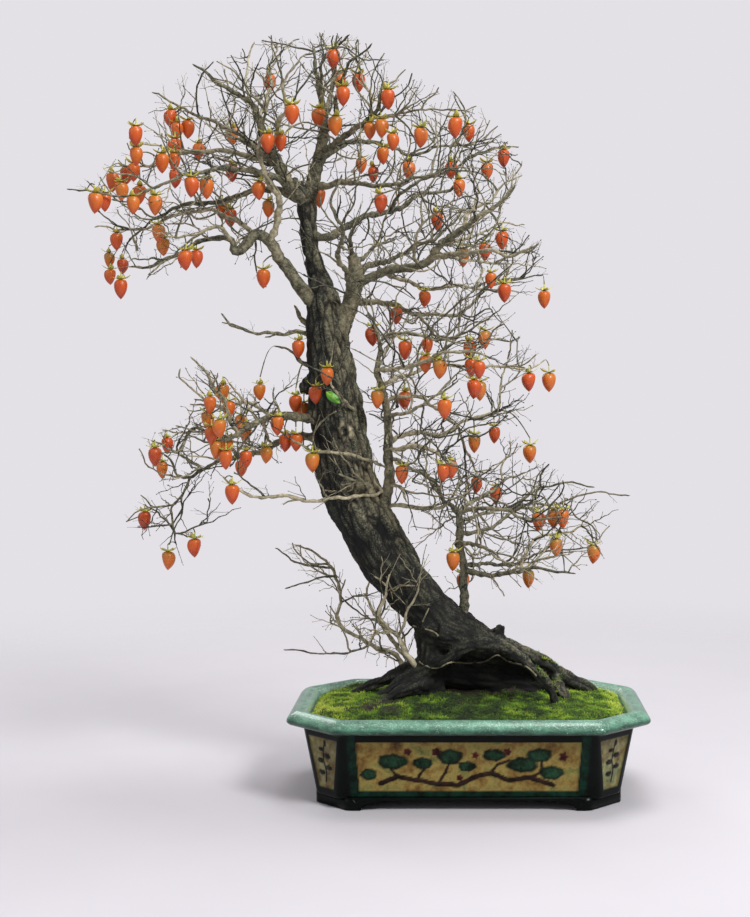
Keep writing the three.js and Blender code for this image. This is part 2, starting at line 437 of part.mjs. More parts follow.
const DRAINS = [-DRAIN_SPACING / 2, DRAIN_SPACING / 2];

function potBody() {
  const profile = [
    [BODY_FOOT_INSET, FOOT_HEIGHT, 12], [BODY_FOOT_INSET - 2, FOOT_HEIGHT + 4, 11],
    [BODY_TOP_INSET + 1, 88, 1], [BODY_TOP_INSET - 2, 93, 0], [6, LIP_UNDERSIDE - 1.5, 0],
    [1.5, LIP_UNDERSIDE + 0.5, 0], [0, 100, 0], [1, 103.5, 0], [5, 108, 0], [11, RIM_HEIGHT - 0.6, 0],
    [17, RIM_HEIGHT, 0], [22, 109.5, 0], [25, 104, 0], [BODY_TOP_INSET + WALL_THICKNESS, 94, 1],
    [BODY_FOOT_INSET + WALL_THICKNESS, FOOT_HEIGHT + FLOOR_THICKNESS, 11],
  ];
  return skin(profile.map(([inset, height, cutChange]) => octagon(inset, height, cutChange)));
}

function pot() {
  let body = potBody().add(prism(BODY_FOOT_INSET - 3, 0, FOOT_HEIGHT + 2));
  body = body.subtract(prism(BODY_FOOT_INSET - 3 + FOOT_WALL, -1, FOOT_HEIGHT));
  body = body.subtract(tunnel(FRONT_ARCH, false)).subtract(tunnel(END_ARCH, true));
  for (const x of DRAINS) {
    const drain = new THREE.CylinderGeometry(DRAIN_RADIUS, DRAIN_RADIUS, 40, 12).rotateX(Math.PI / 2);
    body = body.subtract(solid(drain.translate(x, 0, FOOT_HEIGHT + 5)));
  }
  for (const side of [-1, 1]) {
    body = body.subtract(panelCut(FRONT_PANEL, side, false)).subtract(panelCut(END_PANEL, side, true));
  }
  return body;
}

// A square block whose middle is at a height over the pot's inner floor
function block(side, thickness, x, y, height) {
  const floor = FOOT_HEIGHT + FLOOR_THICKNESS;
  return solid(new THREE.BoxGeometry(side, side, thickness).translate(x, y, floor + height));
}

// A plastic screen over a drain hole, on the pot's floor, with the holes of its net
function drainScreen(x) {
  const height = GAP + SCREEN.thickness / 2;
  const step = (SCREEN.hole + SCREEN.bar) / 2;
  const holes = [[-1, -1], [1, -1], [1, 1], [-1, 1]]
    .map(([column, row]) => block(SCREEN.hole, 2 * SCREEN.thickness, x + column * step, row * step, height));
  return wasm.Manifold.difference([block(SCREEN.side, SCREEN.thickness, x, 0, height), ...holes]);
}

// The room that a drain screen takes out of the soil
const screenRoom = (x) => block(SCREEN.side + 2 * GAP, 2 * (SCREEN.thickness + 2 * GAP), x, 0, 0);

// Height of the soil: level at the rim and gently domed towards the trunk
function soilHeight(share) {
  return THREE.MathUtils.lerp(SOIL_CROWN_HEIGHT, SOIL_EDGE_HEIGHT, share * share);
}

// Rings over the bed from its edge to its middle, one for each share of the way
function bedRings(shares, inset, heightAt) {
  const edge = octagon(inset, 0);
  return shares.map((share) => edge.map((point) => {
    const at = point.clone().multiplyScalar(share);
    at.z = heightAt(share, at);
    return at;
  }));
}

const BED_INSET = BODY_TOP_INSET + WALL_THICKNESS + 1;
const BED_SHARES = [1, 0.66, 0.33];

function soil(roots) {
  const floor = FOOT_HEIGHT + FLOOR_THICKNESS + GAP;
  const shoulder = 94;
  const low = octagon(BODY_FOOT_INSET + WALL_THICKNESS + 2 * GAP, floor, 11);
  const high = octagon(BED_INSET, shoulder, 1);
  const bed = skin([low, high, ...bedRings(BED_SHARES, BED_INSET, soilHeight)]);
  return wasm.Manifold.difference([bed, roots, ...DRAINS.map(screenRoom)]).simplify(BED_TOLERANCE);
}

// Moss cushions, higher and lower by a formula, over the whole bed
function moss(roots) {
  const cushion = (at) => Math.sin(at.x / 13) * Math.cos(at.y / 11) + 0.6 * Math.sin(at.x / 7 + at.y / 9);
  const under = bedRings([...BED_SHARES].reverse(), BED_INSET, (share) => soilHeight(share) + GAP);
  const over = bedRings([1, 0.95, 0.85, 0.72, 0.58, 0.42, 0.25], BED_INSET, (share, at) => {
    const thickness = share === 1 ? 0.5 * MOSS_THICKNESS : MOSS_THICKNESS + 1.5 * cushion(at);
    return soilHeight(share) + thickness;
  });
  return skin([...under, ...over]).subtract(roots).simplify(BED_TOLERANCE);
}

function rootSolids(grow) {
  const trunk = limb(stationsOf(TRUNK), { sides: 11, swell: 0.035, grow });
  const roots = Object.values(ROOTS).map((points) => {
    const thick = points[0][3] > 15;
    return limb(stationsOf(points), { sides: thick ? 8 : 6, swell: thick ? 0.04 : 0.02, grow });
  });
  return [trunk, ...roots];
}

// Straight stretches of wood, kept to test what is clear of them
const stretches = [];
function remember(stations) {
  for (let i = 1; i < stations.length; i++) {
    stretches.push({
      line: new THREE.Line3(stations[i - 1][0], stations[i][0]),
      from: stations[i - 1][1],
      to: stations[i][1],
    });
  }
}

function clearOfWood(point, radius) {
  return stretches.every(({ line, from, to }) => {
    const share = line.closestPointToPointParameter(point, true);
    const wood = THREE.MathUtils.lerp(from, to, share);
    return line.at(share, new THREE.Vector3()).distanceTo(point) > wood + radius;
  });
}

// Rises over a fruit's top, or depths below it, each with the radius that must stay clear there
const FRUIT_GIRTHS = [[4, 4], [-3, 8.5], [-12, 9.5], [-20, 7.5], [-27, 2.5]];
const SEPAL_TURNS = [0.2, 0.5, 0.8, 1.1, 1.4, 0.05, 0.35, 0.65, 0.95, 1.25];
const hung = [];

function fruitIsClear(top) {
  const fits = [...FRUIT_GIRTHS, [STALK_LENGTH, 2 * STALK_RADIUS]].every(([rise, radius]) => {
    const point = top.clone().add(new THREE.Vector3(0, 0, rise));
    return clearOfWood(point, radius);
  });
  const apart = hung.every((other) => other.distanceTo(top) > 2 * SEPAL_LENGTH);
  return fits && apart && sepalTurn(top) !== undefined;
}

// How far a fruit turns for its four sepals to clear the wood
function sepalTurn(top) {
  return SEPAL_TURNS.find((turn) => [1, 3, 5, 7].every((eighth) => [0.4, 0.6, 0.8, 1].every((share) => {
    const angle = turn + (eighth * Math.PI) / 4;
    const reach = share * SEPAL_LENGTH;
    const out = new THREE.Vector3(reach * Math.cos(angle), reach * Math.sin(angle), share * SEPAL_LIFT);
    return clearOfWood(out.add(top), 2);
  })));
}

// The depth of the wood that is drawn nearest above a fruit
function woodDepth(x, height) {
  let best = { distance: Infinity, depth: 0 };
  for (const points of LIMBS) {
    for (let i = 1; i < points.length; i++) {
      const [a, b] = [points[i - 1], points[i]];
      const line = new THREE.Line3(new THREE.Vector3(a[0], a[1], 0), new THREE.Vector3(b[0], b[1], 0));
      const share = line.closestPointToPointParameter(new THREE.Vector3(x, height, 0), true);
      const distance = line.at(share, new THREE.Vector3()).distanceTo(new THREE.Vector3(x, height, 0));
      if (distance < best.distance) best = { distance, depth: THREE.MathUtils.lerp(a[2], b[2], share) };
    }
  }
  return best.depth;
}

const DEPTH_STEPS = [0, -8, 8, -16, 16, -24, 24, -32, 32, -44, 44, -58, 58];

// The top of a fruit, at the first depth where it hangs clear
function fruitTop([x, height]) {
  const depth = woodDepth(x, height + FRUIT_LENGTH);
  return DEPTH_STEPS
    .map((step) => carried([x, height, depth + step]).add(new THREE.Vector3(0, 0, FRUIT_LENGTH / 2)))
    .find(fruitIsClear);
}

function clearOfFruit(point, radius) {
  return hung.every((top) => {
    const aside = Math.hypot(point.x - top.x, point.y - top.y);
    const rise = point.z - top.z;
    if (aside < SEPAL_LENGTH + radius && Math.abs(rise - 0.5 * SEPAL_LIFT) < SEPAL_LIFT + radius) return false;
    return FRUIT_GIRTHS.every(([level, girth]) => Math.hypot(aside, rise - level) > girth + radius);
  });
}

// Whether a straight twig passes all fruit with this much room
function runIsClear(root, tip, room) {
  const steps = 14;
  return Array.from({ length: steps }, (_, i) => root.clone().lerp(tip, (i + 1) / steps))
    .every((point) => clearOfFruit(point, room));
}

// The nearest point in the wood from which a straight spur reaches a stalk clear of all fruit
function spurRoot(head) {
  let best = null;
  for (const { line, from, to } of stretches) {
    if (from > THICKEST_FRUITING_WOOD) continue;
    const share = line.closestPointToPointParameter(head, true);
    const root = line.at(share, new THREE.Vector3());
    const distance = root.distanceTo(head);
    if (runIsClear(root, head, SPUR_ROOM) && (!best || distance < best.distance)) {
      best = { root, distance, radius: THREE.MathUtils.lerp(from, to, share) };
    }
  }
  return best;
}

// Rings of a fruit from its tip up: distance down, radius, and radius between the sepals if less
const FRUIT_RINGS = [
  [-FRUIT_LENGTH, 0], [-0.74 * FRUIT_LENGTH, 0.7 * FRUIT_RADIUS], [-0.36 * FRUIT_LENGTH, FRUIT_RADIUS],
  [-0.05 * FRUIT_LENGTH, 0.68 * FRUIT_RADIUS], [-0.3, SEPAL_LENGTH, 3.2], [0.9, SEPAL_LENGTH, 2.8],
  [1.4, 1.1], [STALK_LENGTH, STALK_RADIUS],
];

// One fruit below its top: the berry, four sepals that spread, and its stalk
function fruit(top, turn) {
  return skin(FRUIT_RINGS.map(([rise, radius, between = radius]) => Array.from({ length: 8 }, (_, i) => {
    const angle = turn + (i * Math.PI) / 4;
    const reach = i % 2 ? radius : between;
    const lift = i % 2 && between < radius ? SEPAL_LIFT : 0;
    return top.clone().add(new THREE.Vector3(reach * Math.cos(angle), reach * Math.sin(angle), rise + lift));
  })));
}

// Each fruit as a solid, with its spur from the wood
function hangFruit() {
  const fruits = [];
  const spurs = [];
  for (const drawn of FRUITS) {
    const top = fruitTop(drawn);
    if (!top) continue;
    hung.push(top);
    const head = top.clone().add(new THREE.Vector3(0, 0, STALK_LENGTH + GAP));
    const spur = spurRoot(head);
    fruits.push(fruit(top, sepalTurn(top)));
    spurs.push([spur.root, head, twigRadius(spur.radius)]);
    remember([[spur.root, twigRadius(spur.radius)], [head, 0]]);
  }
  return { fruits, spurs };
}

// Short side twigs, alternate along a limb, where they clear the fruit
function twigsOf(stations) {
  const twigs = [];
  let travelled = random(0, TWIG_SPACING);
  let side = new THREE.Vector3(random(-1, 1), random(-1, 1), random(-0.4, 1));
  for (let i = 1; i < stations.length; i++) {
    const [from, to] = [stations[i - 1], stations[i]];
    const run = to[0].clone().sub(from[0]);
    const ahead = run.clone().normalize();
    travelled += run.length();
    if (to[1] > THICKEST_TWIGGY_LIMB || travelled < TWIG_SPACING) continue;
    travelled = 0;
    side = side.multiplyScalar(-1).add(new THREE.Vector3(random(-1, 1), random(-1, 1), random(-0.5, 0.9)));
    side.addScaledVector(ahead, -side.dot(ahead)).normalize();
    const start = from[0].clone().lerp(to[0], random(0.1, 0.7));
    const length = random(22, 46);
    const tip = start.clone().addScaledVector(ahead, 0.7 * length).addScaledVector(side, 0.7 * length);
    tip.z += 0.15 * length;
    if (!runIsClear(start, tip, TWIG_ROOM) || tip.z < TWIG_LOWEST) continue;
    twigs.push([start, tip, twigRadius(to[1])]);
  }
  return twigs;
}

const limbStations = LIMBS.map(stationsOf);
[stationsOf(TRUNK), ...Object.values(ROOTS).map(stationsOf), ...BURLS.map(stationsOf), ...limbStations]
  .forEach(remember);

const { fruits, spurs } = hangFruit();

function tree() {
  const parts = rootSolids(0);
  for (const points of BURLS) parts.push(limb(stationsOf(points), { sides: 7 }));
  for (const stations of limbStations) parts.push(limb(pointed(stations), { sides: sidesFor(stations[0][1]) }));
  for (const shoot of [...spurs, ...limbStations.flatMap(twigsOf)]) parts.push(twig(...shoot));
  return wasm.Manifold.union(parts).simplify(WOOD_TOLERANCE);
}

// One late leaf in front of the trunk, with a folded rib
function leaf() {
  const outline = new THREE.Shape();
  outline.moveTo(0, 0);
  outline.bezierCurveTo(6, 4, 8, 14, 0, 26);
  outline.bezierCurveTo(-8, 14, -6, 4, 0, 0);
  const blade = new THREE.ExtrudeGeometry(outline, { depth: 0.8, bevelEnabled: false, curveSegments: 5 });
  const place = blade.attributes.position;
  for (let i = 0; i < place.count; i++) {
    place.setZ(i, place.getZ(i) + 0.25 * Math.abs(place.getX(i)) - 0.006 * place.getY(i) ** 2);
  }
  blade.rotateX(Math.PI / 2).rotateY(2.3);
  const at = carried([-180, 499, -52]);
  return solid(blade.translate(at.x, at.y, at.z));
}

const holes = wasm.Manifold.union(rootSolids(GAP));
const bonsai = new THREE.Group();
bonsai.add(
  piece('pot', pot(), GLAZE_COLOUR, 0.25),
  piece('drain_screen_left', drainScreen(DRAINS[0]), SCREEN_COLOUR, 0.6),
  piece('drain_screen_right', drainScreen(DRAINS[1]), SCREEN_COLOUR, 0.6),
  piece('soil', soil(holes), SOIL_COLOUR, 0.95),
  piece('moss', moss(holes), MOSS_COLOUR, 0.95),
  piece('tree', tree(), WOOD_COLOUR, 0.85),
  piece('leaf', leaf(), LEAF_COLOUR, 0.55),
);
fruits.forEach((body, i) => {
  bonsai.add(piece(`fruit_${String(i + 1).padStart(2, '0')}`, body, FRUIT_COLOUR, 0.35));
});

// The origin is under the middle of the whole bonsai
const bounds = new THREE.Box3().setFromObject(bonsai);
const centre = bounds.getCenter(new THREE.Vector3());
bonsai.position.set(-centre.x, -centre.y, 0);

export default bonsai;
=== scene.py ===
# %% [markdown]
# # A princess persimmon bonsai
#
# An old, leaning fruiting tree in an octagonal glazed pot: a rough trunk that stands on an
# arched root, thin sinuous limbs, bare twigs, small pointed orange fruit and a bed of moss.
# This lesson dresses the model of it that was made in CAD. The frame gives every piece its
# real place and size, so nothing here is fitted by eye.

# %% The frame
import math

import bmesh
import bpy
import numpy as np
from mathutils import Euler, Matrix, Vector, kdtree, noise


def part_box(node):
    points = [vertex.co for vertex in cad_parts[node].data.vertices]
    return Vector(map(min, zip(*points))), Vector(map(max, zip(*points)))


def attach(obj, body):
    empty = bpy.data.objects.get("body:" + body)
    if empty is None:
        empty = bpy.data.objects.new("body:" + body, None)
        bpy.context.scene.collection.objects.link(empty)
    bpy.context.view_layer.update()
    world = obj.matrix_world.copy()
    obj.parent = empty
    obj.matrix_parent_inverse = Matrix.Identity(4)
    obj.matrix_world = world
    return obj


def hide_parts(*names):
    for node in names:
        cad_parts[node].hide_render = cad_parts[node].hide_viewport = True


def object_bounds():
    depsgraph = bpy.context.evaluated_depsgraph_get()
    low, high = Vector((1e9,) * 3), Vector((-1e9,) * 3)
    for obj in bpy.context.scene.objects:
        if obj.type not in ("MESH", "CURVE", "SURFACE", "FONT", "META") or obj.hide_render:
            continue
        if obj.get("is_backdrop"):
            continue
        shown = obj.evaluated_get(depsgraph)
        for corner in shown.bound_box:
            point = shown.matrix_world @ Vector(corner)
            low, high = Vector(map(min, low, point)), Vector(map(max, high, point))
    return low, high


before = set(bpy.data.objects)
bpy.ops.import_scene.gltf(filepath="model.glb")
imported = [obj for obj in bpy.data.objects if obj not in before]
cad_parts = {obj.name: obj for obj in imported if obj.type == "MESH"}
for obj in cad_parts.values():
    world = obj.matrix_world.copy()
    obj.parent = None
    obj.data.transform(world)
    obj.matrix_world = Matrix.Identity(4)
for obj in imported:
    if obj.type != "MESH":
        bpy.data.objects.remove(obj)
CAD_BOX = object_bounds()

MM = 0.001
POT_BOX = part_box("pot")
POT = Vector(((POT_BOX[0].x + POT_BOX[1].x) / 2, (POT_BOX[0].y + POT_BOX[1].y) / 2, 0))
print("the pot's middle is at", [round(value, 4) for value in POT])

# %% [markdown]
# ## The eye and the drawn lines
#
# The tree was drawn from the front, as x and height in millimetres on the upright plane
# through the pot's middle. Each point also has a depth, and is carried back or forth along
# its line of sight, so the drawing stays true while the tree gets its real roundness. The
# same eye is the place for the camera. It is level and looks straight back, and its frame is
# shifted towards the crown, as the photographer's was.

# %% The eye
EYE_DISTANCE = 1.885
EYE_HEIGHT = 0.497
FOCAL_LENGTH = 58.9
FRAME_SHIFT = (-0.1021, -0.0728)


def carried(x, height, depth):
    """The place of a point that is drawn in millimetres and carried back by its depth."""
    scale = 1 + depth * MM / EYE_DISTANCE
    rise = EYE_HEIGHT + (height * MM - EYE_HEIGHT) * scale
    return POT + Vector((x * MM * scale, depth * MM, rise))


lens = bpy.data.cameras.new("camera")
lens.lens = FOCAL_LENGTH
lens.sensor_width = 36
camera = bpy.data.objects.new("camera", lens)
camera.location = POT + Vector((0, -EYE_DISTANCE, EYE_HEIGHT))
camera.rotation_euler = (math.pi / 2, 0, 0)
lens.shift_x, lens.shift_y = FRAME_SHIFT
bpy.context.collection.objects.link(camera)
bpy.context.scene.camera = camera
print("the eye is", EYE_DISTANCE, "m in front of the pot's middle")

# %% [markdown]
# ## Nodes from code
#
# Materials and Geometry Nodes are both trees of nodes. One small helper adds a node with its
# settings and inputs in a single call, where an input may be a plain value or the output of
# another node. Colours are given as they look on a screen and turned into linear light here.

# %% Node helpers
def add(tree, kind, inputs=None, **settings):
    """A node of a kind, with its settings, and each input a value or another node's output."""
    node = tree.nodes.new(kind)
    for key, value in settings.items():
        setattr(node, key, value)
    for key, value in (inputs or {}).items():
        if isinstance(value, bpy.types.NodeSocket):
            tree.links.new(value, node.inputs[key])
        else:
            node.inputs[key].default_value = value
    return node


def colour(red, green, blue):
    """A screen colour from 0 to 255 as linear light."""
    shares = [value / 255 for value in (red, green, blue)]
    linear = [s / 12.92 if s <= 0.04045 else ((s + 0.055) / 1.055) ** 2.4 for s in shares]
    return (*linear, 1)


def sums(tree, operation, first, second, clamp=False):
    """The result of a sum on two numbers."""
    return add(tree, "ShaderNodeMath", {0: first, 1: second}, operation=operation, use_clamp=clamp).outputs[0]


def ramp(tree, share, stops):
    """Colours along a share, from (position, colour) stops."""
    node = add(tree, "ShaderNodeValToRGB", {"Fac": share})
    edges = node.color_ramp.elements
    while len(edges) < len(stops):
        edges.new(0.5)
    for edge, (position, tone) in zip(edges, stops):
        edge.position = position
        edge.color = tone
    return node.outputs["Color"]


def blended(tree, share, first, second, mode="MIX"):
    """Two colours mixed by a share."""
    node = add(tree, "ShaderNodeMix", {0: share, 6: first, 7: second}, data_type="RGBA", blend_type=mode)
    return node.outputs[2]


def grain(tree, place, scale, detail=3.0, roughness=0.6):
    """The strength of a noise pattern at a place."""
    sizes = {"Vector": place, "Scale": scale, "Detail": detail, "Roughness": roughness}
    return add(tree, "ShaderNodeTexNoise", sizes).outputs[0]


def stretched(tree, place, x, y, z):
    """A place drawn out along its axes, which draws the pattern on it out too."""
    return add(tree, "ShaderNodeMapping", {"Vector": place, "Scale": (x, y, z)}).outputs["Vector"]


def told(tree, name, output="Fac"):
    """What a mesh says of itself in an attribute."""
    return add(tree, "ShaderNodeAttribute", attribute_name=name).outputs[output]


def material(name, roughness, **finish):
    """A new material, its tree, its shader and the object's own coordinates."""
    made = bpy.data.materials.new(name)
    made.use_nodes = True
    tree = made.node_tree
    shader = tree.nodes["Principled BSDF"]
    shader.inputs["Roughness"].default_value = roughness
    for key, value in finish.items():
        shader.inputs[key.replace("_", " ")].default_value = value
    return made, tree, shader, add(tree, "ShaderNodeTexCoord").outputs["Object"]


def bumped(tree, shader, height, strength, distance):
    """Fine relief that is too small for the mesh."""
    sizes = {"Height": height, "Strength": strength, "Distance": distance}
    tree.links.new(add(tree, "ShaderNodeBump", sizes).outputs["Normal"], shader.inputs["Normal"])

# %% [markdown]
# ## Studio
#
# The real tree stands before a plain pale lilac-grey backdrop, under broad soft light from
# the upper right that leaves the trunk's left side near black. A big floor and a pale world
# stand in for the backdrop from every side. What the camera sees of the world is its true
# colour, but its light on the tree is weaker, or the trunk's shades would wash out.

# %% Floor, world and lamps
BACKDROP = colour(228, 225, 230)
WORLD_LIGHT = 0.5
FLOOR_RADIUS = 1.9
CLEAR_FROM = 0.45


def studio_floor():
    """A plain pale disc under the pot's feet, clear towards its rim, where the world takes over."""
    bpy.ops.mesh.primitive_circle_add(vertices=64, radius=FLOOR_RADIUS, fill_type="NGON")
    floor = bpy.context.object
    floor.name = "floor"
    made, tree, shader, place = material("pale_floor", 0.9)
    tone = ramp(tree, grain(tree, place, 3.0), [(0.3, colour(205, 202, 207)), (0.7, colour(209, 206, 211))])
    tree.links.new(tone, shader.inputs["Base Color"])
    away = add(tree, "ShaderNodeVectorMath", {0: place}, operation="LENGTH").outputs["Value"]
    clear = add(tree, "ShaderNodeMapRange", {
        "Value": away, "From Min": CLEAR_FROM, "From Max": FLOOR_RADIUS}, interpolation_type="SMOOTHSTEP")
    glass = add(tree, "ShaderNodeBsdfTransparent")
    mixed = add(tree, "ShaderNodeMixShader", {0: clear.outputs[0], 1: shader.outputs[0], 2: glass.outputs[0]})
    tree.links.new(mixed.outputs[0], tree.nodes["Material Output"].inputs["Surface"])
    floor.data.materials.append(made)
    floor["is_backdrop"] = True


def studio_world():
    """A pale world, dimmer for its light than for the eye."""
    world = bpy.data.worlds.new("backdrop")
    world.use_nodes = True
    tree = world.node_tree
    seen = add(tree, "ShaderNodeLightPath").outputs["Is Camera Ray"]
    lit = sums(tree, "MULTIPLY_ADD", seen, 1 - WORLD_LIGHT)
    lit.node.inputs[2].default_value = WORLD_LIGHT
    back = tree.nodes["Background"]
    back.inputs["Color"].default_value = BACKDROP
    tree.links.new(lit, back.inputs["Strength"])
    bpy.context.scene.world = world


def lamp(name, place, size, power):
    """A square soft box that looks at the middle of the tree."""
    light = bpy.data.lights.new(name, "AREA")
    light.size = size
    light.energy = power
    box = bpy.data.objects.new(name, light)
    box.location = POT + Vector(place)
    box.rotation_euler = (POT + Vector((-0.1, 0, 0.4)) - box.location).to_track_quat("-Z", "Y").to_euler()
    bpy.context.collection.objects.link(box)


studio_floor()
studio_world()
lamp("key", (1.3, -1.8, 2.2), 0.8, 66)
lamp("fill", (-2.2, -1.4, 1.3), 1.8, 7)
lamp("top", (0.2, 0.3, 2.8), 1.2, 34)
lamp("rim", (-1.2, 2.0, 1.6), 1.2, 14)
bpy.context.scene.view_settings.view_transform = "Standard"
print("four lamps over a floor of", FLOOR_RADIUS, "m")

# %% [markdown]
# ## Helpers for meshes
#
# A mesh is a list of points and a list of faces. `Shape` gathers both a part at a time. A
# tree of Geometry Nodes is run by `grown`: it sets the tree's sizes by their identifiers,
# takes the plain mesh that comes out, and drops the modifier. Last, `finished` moves stray
# tips inside the frame's box and lets the piece ride on the frame.

# %% Mesh helpers
TIP_ROOM = 0.0006


class Shape:
    """Points and faces of one mesh, gathered a part at a time, with a number told at each point."""

    def __init__(self):
        self.points = []
        self.faces = []
        self.tones = []

    def take(self, points, faces, tone=0.0):
        start = len(self.points)
        self.points.extend(points)
        self.faces.extend([[start + i for i in face] for face in faces])
        self.tones.extend(tone if hasattr(tone, "__len__") else [tone] * len(points))

    def mesh(self, name, told_as="tone"):
        made = bpy.data.meshes.new(name)
        made.from_pydata([tuple(point) for point in self.points], [], self.faces)
        tell(made, told_as, self.tones)
        made.shade_smooth()
        return made


def tell(mesh, name, values, kind="FLOAT"):
    """Gives a mesh an attribute on its points."""
    field = {"FLOAT": "value", "INT": "value", "FLOAT_VECTOR": "vector", "FLOAT_COLOR": "color"}[kind]
    held = mesh.attributes.new(name, kind, "POINT")
    held.data.foreach_set(field, np.asarray(values, np.int32 if kind == "INT" else np.float32).ravel())


def eased(share):
    """A soft step from 0 to 1."""
    share = np.clip(share, 0, 1)
    return share * share * (3 - 2 * share)


def places_of(mesh):
    """A mesh's points as rows of numbers."""
    flat = np.empty(3 * len(mesh.vertices), np.float32)
    mesh.vertices.foreach_get("co", flat)
    return flat.reshape(-1, 3)


def put(name, data):
    """An object for a mesh or curve, at the origin."""
    made = bpy.data.objects.new(name, data)
    bpy.context.collection.objects.link(made)
    return made


def node_tree(name, sizes):
    """A Geometry Nodes tree with named sizes, its group inputs and its output."""
    tree = bpy.data.node_groups.new(name, "GeometryNodeTree")
    tree.interface.new_socket("Geometry", in_out="INPUT", socket_type="NodeSocketGeometry")
    for label, (kind, value) in sizes.items():
        socket = tree.interface.new_socket(label, in_out="INPUT", socket_type="NodeSocket" + kind)
        if value is not None:
            socket.default_value = value
    tree.interface.new_socket("Geometry", in_out="OUTPUT", socket_type="NodeSocketGeometry")
    inputs = tree.nodes.new("NodeGroupInput").outputs
    return tree, inputs, tree.nodes.new("NodeGroupOutput")


def grown(thing, tree, sizes):
    """The plain mesh that a tree of nodes makes of an object."""
    modifier = thing.modifiers.new(tree.name, "NODES")
    modifier.node_group = tree
    for item in tree.interface.items_tree:
        if item.in_out == "INPUT" and item.name in sizes:
            modifier[item.identifier] = sizes[item.name]
    return plain(thing)


def plain(thing):
    """The mesh of an object with its modifiers carried out, and the object itself removed."""
    bpy.context.view_layer.update()
    graph = bpy.context.evaluated_depsgraph_get()
    mesh = bpy.data.meshes.new_from_object(
        thing.evaluated_get(graph), preserve_all_data_layers=True, depsgraph=graph)
    bpy.data.objects.remove(thing)
    return mesh


def finished(piece, replaced=()):
    """Keeps a piece in the frame's box and lets it ride on the frame."""
    places = places_of(piece.data)
    low, high = (np.array(corner, np.float32) for corner in CAD_BOX)
    piece.data.vertices.foreach_set("co", np.clip(places, low + TIP_ROOM, high - TIP_ROOM).ravel())
    piece.data.update()
    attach(piece, "root")
    if replaced:
        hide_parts(*replaced)
    piece.data.calc_loop_triangles()
    print(piece.name, "has", len(piece.data.loop_triangles), "triangles")
    return piece


def tube(centres, radii, sides, turn=0.0, lobes=None):
    """A closed tube along centres: its points, its faces, and each point's (row, angle)."""
    rows = len(centres)
    across = Vector((0.3, 1, 0.2))
    points = []
    for row, (centre, radius) in enumerate(zip(centres, radii)):
        ahead = (centres[min(row + 1, rows - 1)] - centres[max(row - 1, 0)]).normalized()
        across = (across - ahead * across.dot(ahead)).normalized()
        up = ahead.cross(across)
        for side in range(sides):
            angle = 2 * math.pi * side / sides + turn
            reach = radius * (lobes(row / rows, angle) if lobes else 1)
            points.append(centre + across * (reach * math.cos(angle)) + up * (reach * math.sin(angle)))
    faces = [[row * sides + side, row * sides + (side + 1) % sides,
              (row + 1) * sides + (side + 1) % sides, (row + 1) * sides + side]
             for row in range(rows - 1) for side in range(sides)]
    faces.append(list(range(sides))[::-1])
    faces.append([(rows - 1) * sides + side for side in range(sides)])
    return points, faces

# %% [markdown]
# ## Chance
#
# Nature's small differences come from one generator with a fixed start, so that the tree
# grows the same on every run.

# %% Seeded chance
chance_state = 2024


def chance(low=0.0, high=1.0):
    """The next number between low and high."""
    global chance_state
    chance_state = chance_state * 16807 % 2147483647
    return low + (high - low) * chance_state / 2147483647


print("the first draw is", round(chance(), 3))

# %% [markdown]
# ## Finishes of the wood
#
# Old persimmon bark is near black, cracked into lumpy upright plates, with grey-green grains
# of lichen that show only where the tone is high, so on the lit wood they are partly painted
# highlights. Young limbs are smoother and paler, and twigs are a dark brown-grey. One material
# serves them all: every piece of wood tells its `tone`, from 0 for the dark old bark to 1 for
# the palest limbs, which on the trunk also carries painted light and shade, and its `relief`,
# which darkens the cracks with painted shade.

# %% Bark and limbs
def bark_material():
    """Wood of any age, by the tone that the mesh tells."""
    made, tree, shader, place = material("bark", 0.85)
    tone = told(tree, "tone")
    relief = told(tree, "relief")
    patches = grain(tree, place, 42, 4)
    grains = grain(tree, place, 520, 2, 0.7)
    blotches = sums(tree, "MULTIPLY", sums(tree, "SUBTRACT", grain(tree, place, 170, 4, 0.7), 0.5), 1.3)
    age = sums(tree, "ADD", sums(tree, "MULTIPLY", patches, 0.7), sums(tree, "SUBTRACT", tone, 0.38))
    age = sums(tree, "ADD", age, blotches, True)
    wood = ramp(tree, age, [
        (0.0, colour(13, 13, 12)), (0.2, colour(35, 34, 29)), (0.42, colour(86, 81, 65)),
        (0.68, colour(144, 134, 107)), (1.0, colour(206, 194, 166))])
    # Lichen grains appear only where the tone, with its painted light, is high: lichen colour, and painted highlights
    # on the lit grains
    lit = sums(tree, "ADD", sums(tree, "MULTIPLY", tone, 2.0), 0.12, True)
    lichen_and_glints = sums(tree, "MULTIPLY", sums(tree, "GREATER_THAN", grains, 0.545), sums(tree, "MULTIPLY", relief, lit))
    speckled = blended(tree, sums(tree, "MULTIPLY", lichen_and_glints, 0.62), wood, colour(146, 152, 122))
    moulded = sums(tree, "MULTIPLY", sums(tree, "SUBTRACT", grain(tree, place, 75, 3), 0.52), 3.2, True)
    greened = blended(tree, sums(tree, "MULTIPLY", moulded, 0.35), speckled, colour(74, 82, 44))
    # Painted shade: the wood darkens where its relief is low, in the bark's cracks and the rough skin's dips
    crack = ramp(tree, relief, [(0.0, colour(46, 46, 46)), (0.5, colour(255, 255, 255))])
    tree.links.new(blended(tree, 1.0, greened, crack, "MULTIPLY"), shader.inputs["Base Color"])
    bumped(tree, shader, sums(tree, "ADD", grains, patches), 0.55, 0.0008)
    return made


BARK = bark_material()
print("one bark material, by tone and relief")

# %% [markdown]
# ## The trunk and its roots, as drawn
#
# These lists are the tree's lines as drawn: x, height, depth and radius, in millimetres. The
# trunk leans left over a hollow, and stands on a pillar, a broad shoulder of root that runs
# down to the right, and a slim arched root in front.

